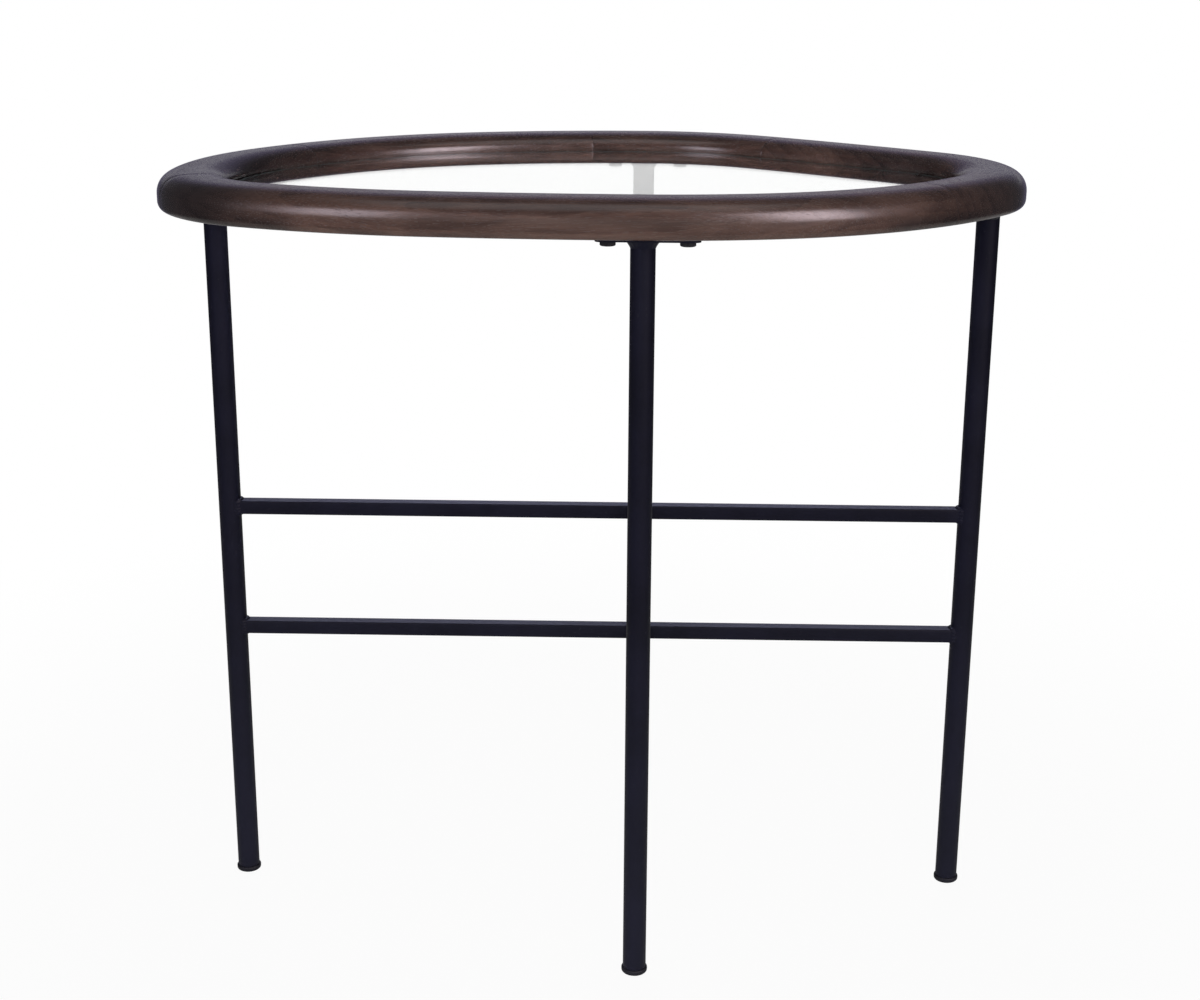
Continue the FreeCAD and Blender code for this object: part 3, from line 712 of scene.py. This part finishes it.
class SIDETABLE_OT_wooden_rim(PieceOperator):
    """Five wooden segments, each the rim's section carried along its part of the line"""

    bl_idname = "sidetable.wooden_rim"
    bl_label = "Wooden rim"

    def execute(self, context):
        sizes = context.scene.table_rim
        finishes = context.scene.table_finishes
        colours = (tuple(finishes.wood_dark), tuple(finishes.wood_light))
        section = rim_section(sizes, *level_range("rim_front"))
        quarter_starts = LENGTHS[::3]
        starts = [quarter_starts[quarter] + way for quarter, way in JOINTS]
        ends = starts[1:] + [starts[0] + ONCE_ROUND]
        for number, (name, begin, end) in enumerate(zip(SEGMENTS, starts, ends)):
            shape, way = rim_segment(sizes, section, begin, end)
            (x_1, x_2), (y_1, y_2) = beside_line((begin, end), 0.0)
            turn = math.atan2(y_2 - y_1, x_2 - x_1)
            # each segment is cut from another place of the tree
            shift = (0.37 * number, 0.061 + 0.013 * number, -0.485 + 0.017 * (number % 3))
            material = wood_material(f"stained wood {number + 1}", colours, turn, shift,
                                     *SEGMENTS[name])
            piece = add_piece(f"{name}_wood", shape, [material], "table", [name])
            # painted shade as a point attribute: darker towards the ends, in the right rear hollow and
            # on the lower outer edge
            stain = rim_darkening_and_shade(shape[0], np.tile(section[:, 0], len(way) // len(section)))
            for label, values in (("way_to_joint", way), ("stain", stain)):
                attribute = piece.data.attributes.new(label, "FLOAT", "POINT")
                attribute.data.foreach_set("value", values.astype(np.float32))
        return {"FINISHED"}


class SIDETABLE_OT_glass_top(PieceOperator):
    """Glass sheet whose outline runs beside the rim's line, with a ground edge"""

    bl_idname = "sidetable.glass_top"
    bl_label = "Glass top"

    def execute(self, context):
        sizes = context.scene.table_glass
        finishes = context.scene.table_finishes
        low, high = level_range("glass_top")
        outside = -(context.scene.table_rim.width / 2 + sizes.side_gap)
        ease = sizes.edge_round
        edge = np.vstack((arc_points((outside - ease, low + ease), (ease, ease), -90, 0, count=5),
                          arc_points((outside - ease, high - ease), (ease, ease), 0, 90, count=5)))
        along = np.arange(sizes.outline_steps) * (ONCE_ROUND / sizes.outline_steps)
        x, y = beside_line(along[None, :], edge[:, :1])
        points = np.stack((x, y, np.repeat(edge[:, 1:], len(along), axis=1)), -1).reshape(-1, 3)
        steps, rows = len(along), len(edge)
        faces = grid_faces(rows, steps).tolist()
        faces += [list(range(steps - 1, -1, -1)), list(range((rows - 1) * steps, rows * steps))]
        body = glass_material(finishes.glass, dust=0.35)
        rim = ground_edge_material(finishes.glass_edge)
        piece = add_piece("glass_sheet", (points, faces), [body, rim], "glass", ["glass_top"])
        on_edge = np.arange(len(faces)) < len(faces) - 2
        piece.data.polygons.foreach_set("material_index", on_edge.astype(np.int32))
        piece.data.polygons.foreach_set("use_smooth", on_edge)
        piece.visible_shadow = False
        return {"FINISHED"}


class SIDETABLE_OT_legs(PieceOperator):
    """Round tubes with eased ends"""

    bl_idname = "sidetable.legs"
    bl_label = "Legs"

    def execute(self, context):
        sizes = context.scene.table_frame
        outside = sizes.leg_diameter / 2
        inside = outside - sizes.leg_wall
        ease = 0.3 * MM
        for leg in LEGS:
            node = f"leg_{leg}"
            low, high = level_range(node)
            profile = ((inside, low), (outside - ease, low), (outside, low + ease),
                       (outside, high - ease), (outside - ease, high), (inside, high))
            shape = moved(turned(profile, steps=72), (*middle(node)[:2], 0))
            add_piece(f"{node}_tube", shape, [coat_material()], "table", [node])
        return {"FINISHED"}


class SIDETABLE_OT_foot_caps(PieceOperator):
    """Moulded caps with a rounded lower edge and a ribbed stem inside the tube"""

    bl_idname = "sidetable.foot_caps"
    bl_label = "Foot caps"

    def execute(self, context):
        sizes = context.scene.table_frame
        wide = sizes.leg_diameter / 2 + sizes.foot_lip
        ease, room, groove, tip = 0.9 * MM, 0.1 * MM, 0.25 * MM, 1 * MM
        stem = sizes.leg_diameter / 2 - sizes.leg_wall - room
        plastic = coated_material("foot plastic", context.scene.table_finishes.foot, waves=2600.0,
                                  gloss=0.50, dust=0.12, depth=0.03 * MM, level=0.25)
        for leg in LEGS:
            node = f"foot_{leg}"
            low, high = level_range(node)
            rest = level_range(f"leg_{leg}")[0]
            lower = arc_points((wide - sizes.foot_round, low + sizes.foot_round),
                               (sizes.foot_round, sizes.foot_round), -90, 0, count=8)
            upper = arc_points((wide - ease, rest - ease), (ease, ease), 0, 90, count=5)
            level = np.linspace(rest + 2 * tip, high - tip, num=25)
            ribs = np.stack((stem - groove * (np.arange(len(level)) % 4 == 2), level), -1)
            profile = np.vstack(((0, low), lower, upper, (stem, rest), ribs, (stem - tip, high),
                                 (0, high)))
            shape = moved(turned(profile, steps=64), (*middle(node)[:2], 0))
            add_piece(f"{node}_cap", shape, [plastic], "table", [node])
        return {"FINISHED"}


def square_bar(spot, along, level, side, edge, begin, end):
    """Square bar with rounded long edges, whose ends are cut to functions of the sideways place.

    The section runs over the top from left to right and back below it, so that each point of the
    top has one straight under it, and the strips between these pairs close the shaped ends.
    """
    half = side / 2
    left = arc_points((edge - half, half - edge), (edge, edge), 180, 90, count=6)
    right = arc_points((half - edge, half - edge), (edge, edge), 90, 0, count=6)
    flat = np.linspace(edge - half, half - edge, num=15)[1:-1]
    over = np.vstack((left, np.stack((flat, np.full_like(flat, half)), -1), right))
    ring = np.vstack((over, (over * (1, -1))[::-1]))
    count, sideways = len(over), (-along[1], along[0])
    reach = np.stack((begin(ring[:, 0]), end(ring[:, 0])))
    points = np.stack((spot[0] + along[0] * reach + sideways[0] * ring[:, 0],
                       spot[1] + along[1] * reach + sideways[1] * ring[:, 0],
                       np.broadcast_to(level + ring[:, 1], reach.shape)), -1).reshape(-1, 3)
    first = np.arange(count - 1)
    strips = np.stack((first, first + 1, 2 * count - 2 - first, 2 * count - 1 - first), -1)
    faces = grid_faces(2, 2 * count).tolist() + strips.tolist()
    faces += (strips[:, ::-1] + 2 * count).tolist()
    return points, faces


def leg_plan():
    """Middles of the legs in plan, and the cross where the bars between them meet."""
    legs = {leg: middle(f"leg_{leg}")[:2] for leg in LEGS}
    return legs, np.array((legs["front"][0], legs["left"][1]))


def round_cut(radius, distance=0.0, way=1):
    """A leg's round face along a bar: the distance, and the way times the circle's half chord."""
    return lambda sideways: distance + way * np.sqrt(radius ** 2 - sideways ** 2)


def flat_cut(distance):
    """A flat face across a bar."""
    return lambda sideways: np.full_like(sideways, distance)


def tier_bars(sizes):
    """Spot, direction and the two cuts of a tier's bars."""
    legs, cross = leg_plan()
    room = 0.05 * MM
    radius = sizes.leg_diameter / 2 + room
    span = legs["right"][0] - legs["left"][0]
    to_front, to_rear = cross[1] - legs["front"][1], legs["rear"][1] - cross[1]
    beside = flat_cut(sizes.bar_side / 2)
    return {
        "long": (legs["left"], (1.0, 0.0), round_cut(radius), round_cut(radius, span, -1)),
        "front": (cross, (0.0, -1.0), beside, round_cut(radius, to_front, -1)),
        "rear": (cross, (0.0, 1.0), beside, round_cut(radius, to_rear, -1)),
    }


class SIDETABLE_OT_stretchers(PieceOperator):
    """Square bars with rounded edges, cut to the legs' round faces"""

    bl_idname = "sidetable.stretchers"
    bl_label = "Stretchers"

    def execute(self, context):
        sizes = context.scene.table_frame
        for tier in TIERS:
            for part, (spot, along, begin, end) in tier_bars(sizes).items():
                node = f"stretcher_{tier}_{part}"
                shape = square_bar(spot, along, middle(node)[2], sizes.bar_side, sizes.bar_edge,
                                   begin, end)
                add_piece(f"{node}_bar", shape, [coat_material()], "table", [node])
        return {"FINISHED"}


def square_ring(side, edge, per_corner, per_side):
    """Points and outward normals round a square with rounded corners."""
    reach = side / 2 - edge
    angle = np.linspace(0, np.pi / 2, per_corner)
    normal = np.stack((np.cos(angle), np.sin(angle)), -1)
    flat = np.stack((np.linspace(reach, -reach, per_side + 2)[1:-1],
                     np.full(per_side, side / 2)), -1)
    points = np.vstack((reach + edge * normal, flat))
    normals = np.vstack((normal, np.tile((0.0, 1.0), (per_side, 1))))
    quarter_turn = np.array(((0.0, 1.0), (-1.0, 0.0)))
    powers = [np.linalg.matrix_power(quarter_turn, number) for number in range(4)]
    return (np.vstack([points @ power for power in powers]),
            np.vstack([normals @ power for power in powers]))


# Weld beads: ripples round a bar, how far each swells and its share of the phase; the power of the
# section's sines; and how far the closed back lies in the bar, in metres, and in the leg, in runs
RIPPLES = ((17, 0.13, 1), (5, 0.07, 2))
BEAD_POWER = 1.25
IN_BAR = 0.04 * MM
IN_LEG = 0.05


def weld_bead(spot, along, level, cut, width, run, thin, side, edge, phase):
    """Rippled bead round a bar's end.

    The bead's section is a quarter of a superellipse, from the width up the leg to the run along
    the bar. It is carried round the bar's outline and swells and narrows with the ripples' sines
    of the place on it. The cut gives where the leg's face lies, and thin is the width above and
    below the bar.
    """
    ring, normal = square_ring(side, edge, per_corner=8, per_side=22)
    place = np.arange(len(ring)) * (2 * np.pi / len(ring))
    swell = 1 + sum(height * np.sin(count * place + turn * phase) for count, height, turn in RIPPLES)
    angle = np.linspace(0, np.pi / 2, num=9)
    out = np.concatenate((np.sin(angle) ** BEAD_POWER, (1.0, -IN_LEG)))
    above_or_below = np.abs(normal[:, 1]) > 0.9
    wide = np.where(above_or_below, thin, width)
    rise = np.vstack(((np.cos(angle) ** BEAD_POWER)[:, None] * (wide * swell)[None, :],
                      np.full((2, len(ring)), -IN_BAR)))
    sideways = ring[None, :, 0] + rise * normal[None, :, 0]
    height = ring[None, :, 1] + rise * normal[None, :, 1]
    reach = cut(sideways) + out[:, None] * (run * swell)[None, :]
    points = np.stack((spot[0] + along[0] * reach - along[1] * sideways,
                       spot[1] + along[1] * reach + along[0] * sideways, level + height), -1)
    return points.reshape(-1, 3), grid_faces(len(out), len(ring), rows_closed=True).tolist()


class SIDETABLE_OT_welds(PieceOperator):
    """Flared collars under the plates and rippled beads round the ends of the stretchers"""

    bl_idname = "sidetable.welds"
    bl_label = "Welds"

    def execute(self, context):
        sizes = context.scene.table_frame
        radius = sizes.leg_diameter / 2
        begin, inset, bite, flush = 0.25 * MM, 0.4 * MM, 0.05 * MM, 0.2 * MM
        share = np.linspace(0, 1, 12)
        collars = []
        for number, leg in enumerate(LEGS):
            top = level_range(f"leg_{leg}")[1]
            flare = np.stack((radius + begin + (sizes.collar_width - inset) * share ** 1.2,
                              top - sizes.collar_height * (1 - share)), -1)
            inner = ((radius - bite, top), (radius - bite, top - sizes.collar_height))
            collar = turned(np.vstack((flare, inner)), steps=120,
                            ripple=lambda angle: 1 + 0.008 * np.sin(19 * angle + number))
            collars.append(moved(collar, (*middle(f"leg_{leg}")[:2], 0)))
        add_piece("plate_weld_collars", joined(collars), [coat_material()], "table", ["plate_welds"],
                  sharp=60)

        legs, cross = leg_plan()
        on_leg, on_bar = round_cut(radius), flat_cut(sizes.bar_side / 2)
        ends = ((legs["left"], (1.0, 0.0), on_leg, sizes.bead_width),
                (legs["right"], (-1.0, 0.0), on_leg, sizes.bead_width),
                (legs["front"], (0.0, 1.0), on_leg, sizes.bead_width),
                (legs["rear"], (0.0, -1.0), on_leg, sizes.bead_width),
                (cross, (0.0, -1.0), on_bar, flush), (cross, (0.0, 1.0), on_bar, flush))
        beads = []
        for tier in TIERS:
            level = middle(f"stretcher_{tier}_long")[2]
            for spot, along, cut, thin in ends:
                beads.append(weld_bead(spot, along, level, cut, sizes.bead_width, sizes.bead_length,
                                       thin, sizes.bar_side, sizes.bar_edge, phase=1.3 * len(beads)))
        add_piece("stretcher_weld_beads", joined(beads), [coat_material()], "table",
                  ["stretcher_welds"], sharp=60)
        return {"FINISHED"}


def hexagon_bolt(flats, diameter, low, seat, high):
    """Bolt that stands on its head: a hexagon whose lower corners are turned off, and a shank.

    The hexagon's radius is half its flats over the cosine of the angle from the nearest flat. Its
    lower edge rises with that radius, as a cone of 30 degrees cuts it.
    """
    steps = 72
    angle = np.arange(steps) * (2 * np.pi / steps)
    from_flat = (angle + np.pi / 6) % (np.pi / 3) - np.pi / 6
    corner = flats / 2 / np.cos(from_flat)
    face, shank = 0.46 * flats, diameter / 2
    ease, tip = 0.25 * MM, 0.8 * MM
    rise = (corner - face) * math.tan(math.radians(30))
    even = np.ones(steps)
    rows = ((face * 0.5 * even, low * even), (face * even, low * even),
            (corner - ease, low + rise * 0.75), (corner, low + rise + ease),
            (corner, (seat - ease) * even), (corner - ease, seat * even),
            (shank * even, seat * even), (shank * even, (high - tip) * even),
            ((shank - tip) * even, high * even))
    radius, level = (np.array([row[part] for row in rows]) for part in (0, 1))
    points = np.stack((radius * np.cos(angle), radius * np.sin(angle), level), -1).reshape(-1, 3)
    end = (len(rows) - 1) * steps
    faces = grid_faces(len(rows), steps).tolist()
    faces += [list(range(steps - 1, -1, -1)), list(range(end, end + steps))]
    return points, faces


class SIDETABLE_OT_bolts(PieceOperator):
    """Blackened hexagon bolts, two to a plate"""

    bl_idname = "sidetable.bolts"
    bl_label = "Bolts"

    def execute(self, context):
        sizes = context.scene.table_frame
        low, high = level_range("plate_bolts")
        bolts = []
        for leg in LEGS:
            spot = middle(f"plate_{leg}")[:2]
            seat = level_range(f"plate_{leg}")[0]
            out = normal_beside(middle(f"leg_{leg}")[:2])
            bolt = hexagon_bolt(sizes.head_flats, sizes.bolt_diameter, low, seat, high)
            for side in (-0.5, 0.5):
                x, y = spot + side * sizes.bolt_spacing * np.array((-out[1], out[0]))
                bolts.append(moved(bolt, (x, y, 0)))
        black = coated_material("blackened bolts", context.scene.table_finishes.bolt, waves=1500.0,
                                gloss=0.36, dust=0.10, depth=0.02 * MM, level=0.3)
        add_piece("plate_bolt_set", joined(bolts), [black], "table", ["plate_bolts"],
                  sharp=25)
        return {"FINISHED"}


class SIDETABLE_OT_packed_pieces(PieceOperator):
    """Finishes of the packed plates, dowels, threaded inserts and pads, whose shapes stay"""

    bl_idname = "sidetable.packed_pieces"
    bl_label = "Packed pieces"

    def execute(self, context):
        finishes = context.scene.table_finishes
        light = tuple(finishes.dowel)
        dark = tuple(0.6 * value for value in light)
        beech = wood_material("beech dowels", (dark, light), turn=0.0, shift=(0.1, 0.02, 0.01),
                              tone=1.0, gloss=0.6, joined_up=False)
        brass = coated_material("brass inserts", finishes.brass, waves=1200.0, gloss=0.22, dust=0.1,
                                depth=0.02 * MM, level=0.5, metallic=1.0)
        chosen = {f"plate_{leg}": coat_material() for leg in LEGS}
        chosen.update(rim_dowels=beech, threaded_inserts=brass, glass_pads=pad_material(finishes.pad))
        for node, material in chosen.items():
            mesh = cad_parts[node].data
            mesh.materials.clear()
            mesh.materials.append(material)
        return {"FINISHED"}


# Studio: floor, world, softboxes and camera
FLOOR_RADIUS = 1.3
FLOOR_RINGS = 24
FLOOR_SPOKES = 96
# how far from the middle the floor begins to be plain white for the camera, and where it is so
FLOOR_FADE = (0.30, 0.95)
# share of the floor's white that shows in a reflection
FLOOR_MIRRORED = 0.3
# Surroundings in reflections: the room and the wall behind the table, the parts of a direction
# between which that wall begins and is full, and between which its white band rises and ends
ROOM = (0.10, 0.10, 0.115, 1)
WALL = (0.22, 0.20, 0.31, 1)
WALL_BEGINS = (0.74, 0.93)
BAND_RISES = (0.105, 0.125)
BAND_ENDS = (0.16, 0.18)
# Softboxes: spot, aim, width and height, tint, whether it lights surfaces and whether it shows on them
SOFTBOXES = {
    "left": ((-1.49, -2.07, 1.47), (-0.16, -0.17, 0.53), (0.90, 1.35), (0.94, 0.87, 1.0), False, True),
    "right": ((1.62, -1.80, 1.63), (0.12, -0.13, 0.53), (0.95, 2.0), (1.0, 0.87, 0.95), False, True),
    "front": ((0.0, -2.4, 0.8), (0.0, 0.0, 0.5), (2.0, 1.2), (1.0, 0.98, 0.96), True, False),
    "rear": ((0.0, 2.4, 1.6), (0.0, 0.0, 0.4), (2.0, 1.2), (1.0, 0.98, 0.97), True, False),
    "top": ((0.0, -0.3, 2.6), (0.0, 0.0, 0.3), (1.6, 1.6), (0.96, 0.97, 1.0), True, True),
}
# Camera: its spot, and its turns sideways, down and about its own axis, in radians
CAMERA_SPOT = (0.03185, -1.38059, 0.72971)
CAMERA_TURNS = (0.02088, 0.305984, 0.00594)


def seen_directly(tree, path, in_reflection=1.0):
    """One for a ray from the camera or through a clear piece, a share in a reflection, else nothing."""
    reflected = calculated(tree, "MULTIPLY", path["Is Glossy Ray"], in_reflection)
    either = calculated(tree, "MAXIMUM", path["Is Camera Ray"], reflected)
    return calculated(tree, "MAXIMUM", either, path["Is Transmission Ray"])


def add_softbox(name, watts, spot, aim, size, tint, diffuse, glossy):
    """Rectangular lamp at a spot, turned to its aim; the camera doesn't see it.

    It may light the surfaces, show as a highlight on them, or both.
    """
    lamp = bpy.data.lights.new(name, "AREA")
    lamp.shape = "RECTANGLE"
    lamp.size, lamp.size_y = size
    lamp.energy = watts
    lamp.color = tint
    holder = bpy.data.objects.new(name, lamp)
    holder.location = spot
    holder.rotation_euler = (Vector(aim) - Vector(spot)).to_track_quat("-Z", "Y").to_euler()
    holder.visible_camera = False
    holder.visible_transmission = False
    holder.visible_diffuse = diffuse
    holder.visible_glossy = glossy
    bpy.context.scene.collection.objects.link(holder)


class SIDETABLE_OT_studio(PieceOperator):
    """Pale floor that keeps the table's shadow, white surroundings, softboxes and the camera"""

    bl_idname = "sidetable.studio"
    bl_label = "Studio"

    def execute(self, context):
        scene = context.scene
        studio = scene.table_studio
        scene.view_settings.view_transform = "Standard"
        self.add_floor(scene, studio)
        self.add_world(scene, studio)
        for side, settings in SOFTBOXES.items():
            add_softbox(f"{side} softbox", getattr(studio, f"{side}_power"), *settings)
        self.add_camera(scene, studio)
        return {"FINISHED"}

    @staticmethod
    def add_floor(scene, studio):
        """A round floor: rings of points whose radius grows with the square of the ring's number."""
        radius = FLOOR_RADIUS * np.linspace(0, 1, FLOOR_RINGS + 1)[1:, None] ** 2
        angle = np.arange(FLOOR_SPOKES) * (2 * np.pi / FLOOR_SPOKES)
        points = np.stack((radius * np.cos(angle), radius * np.sin(angle),
                           np.zeros((FLOOR_RINGS, FLOOR_SPOKES))), -1).reshape(-1, 3)
        faces = grid_faces(FLOOR_RINGS, FLOOR_SPOKES).tolist() + [list(range(FLOOR_SPOKES))]
        mesh = bpy.data.meshes.new("floor")
        mesh.from_pydata(points, [], faces)
        material, tree, shader, place = new_material(
            "pale floor", {"Base Color": rgba(studio.floor), "Roughness": 0.9,
                           "Specular IOR Level": 0.0})
        seen = seen_directly(tree, tree.nodes.new("ShaderNodeLightPath").outputs, FLOOR_MIRRORED)
        away = add_node(tree, "ShaderNodeVectorMath", {0: place}, operation="LENGTH").outputs["Value"]
        share = calculated(tree, "MULTIPLY", ranged(tree, away, *FLOOR_FADE, 0.95, 1.0), seen)
        white = add_node(tree, "ShaderNodeEmission", {"Color": grey(1.0), "Strength": 1.0}).outputs[0]
        mixed = add_node(tree, "ShaderNodeMixShader", {0: share, 1: shader.outputs[0], 2: white})
        tree.links.new(mixed.outputs[0], tree.nodes["Material Output"].inputs["Surface"])
        mesh.materials.append(material)
        floor = bpy.data.objects.new("floor", mesh)
        scene.collection.objects.link(floor)

    @staticmethod
    def add_world(scene, studio):
        """White for the camera and through glass; in reflections a white band behind, else dim."""
        world = bpy.data.worlds.new("studio")
        world.use_nodes = True
        tree = world.node_tree
        path = tree.nodes.new("ShaderNodeLightPath").outputs
        direction = tree.nodes.new("ShaderNodeTexCoord").outputs["Generated"]
        parts = add_node(tree, "ShaderNodeSeparateXYZ", {0: direction}).outputs
        behind = ranged(tree, parts["Y"], *WALL_BEGINS)
        band = calculated(tree, "MULTIPLY", ranged(tree, parts["Z"], *BAND_RISES),
                          ranged(tree, parts["Z"], *BAND_ENDS, 1.0, 0.0))
        reflected = blended(tree, calculated(tree, "MULTIPLY", band, behind),
                            blended(tree, behind, ROOM, WALL), grey(1.0))
        mirrored = calculated(tree, "SUBTRACT", path["Is Glossy Ray"], path["Is Transmission Ray"],
                              clamp=True)
        direct = blended(tree, mirrored, grey(1.0), reflected)
        shown = blended(tree, seen_directly(tree, path), grey(studio.ambient), direct)
        plug(tree, tree.nodes["Background"].inputs, {"Color": shown})
        scene.world = world

    @staticmethod
    def add_camera(scene, studio):
        """Camera at the place and angles that were found from the photograph's edges."""
        sideways, down, roll = CAMERA_TURNS
        right = Vector((math.cos(sideways), math.sin(sideways), 0))
        ahead = Vector((-math.sin(sideways) * math.cos(down), math.cos(sideways) * math.cos(down),
                        -math.sin(down)))
        up = right.cross(ahead)
        level, tall = math.cos(roll), math.sin(roll)
        axes = (level * right + tall * up, level * up - tall * right, -ahead)
        place = Matrix(axes).transposed().to_4x4()
        place.translation = CAMERA_SPOT
        lens = bpy.data.cameras.new("camera")
        lens.sensor_width = 36
        lens.lens = studio.lens
        camera = bpy.data.objects.new("camera", lens)
        camera.matrix_world = place
        scene.collection.objects.link(camera)
        scene.camera = camera


class SIDETABLE_PT_panel(bpy.types.Panel):
    """Buttons and settings of the side table"""

    bl_label = "Side table"
    bl_space_type = "VIEW_3D"
    bl_region_type = "UI"
    bl_category = "Side table"

    def draw(self, context):
        for operator in OPERATORS:
            self.layout.operator(operator.bl_idname)
        for name, kind in SETTINGS.items():
            box = self.layout.box()
            box.label(text=kind.__doc__)
            group = getattr(context.scene, name)
            for key in kind.__annotations__:
                box.prop(group, key)


SETTINGS = {"table_rim": RimSizes, "table_frame": FrameSizes, "table_glass": GlassSizes,
            "table_finishes": Finishes, "table_studio": StudioSettings}
OPERATORS = (SIDETABLE_OT_wooden_rim, SIDETABLE_OT_glass_top, SIDETABLE_OT_legs,
             SIDETABLE_OT_foot_caps, SIDETABLE_OT_stretchers, SIDETABLE_OT_welds, SIDETABLE_OT_bolts,
             SIDETABLE_OT_packed_pieces, SIDETABLE_OT_studio)


def register():
    for kind in (*SETTINGS.values(), *OPERATORS, SIDETABLE_PT_panel):
        bpy.utils.register_class(kind)
    for name, kind in SETTINGS.items():
        setattr(bpy.types.Scene, name, PointerProperty(type=kind))


def unregister():
    for name in SETTINGS:
        delattr(bpy.types.Scene, name)
    for kind in (SIDETABLE_PT_panel, *reversed(OPERATORS), *reversed(SETTINGS.values())):
        bpy.utils.unregister_class(kind)


def main():
    register()
    bpy.ops.sidetable.wooden_rim()
    bpy.ops.sidetable.glass_top()
    bpy.ops.sidetable.legs()
    bpy.ops.sidetable.foot_caps()
    bpy.ops.sidetable.stretchers()
    bpy.ops.sidetable.welds()
    bpy.ops.sidetable.bolts()
    bpy.ops.sidetable.packed_pieces()
    bpy.ops.sidetable.studio()


if __name__ == "__main__":
    main()
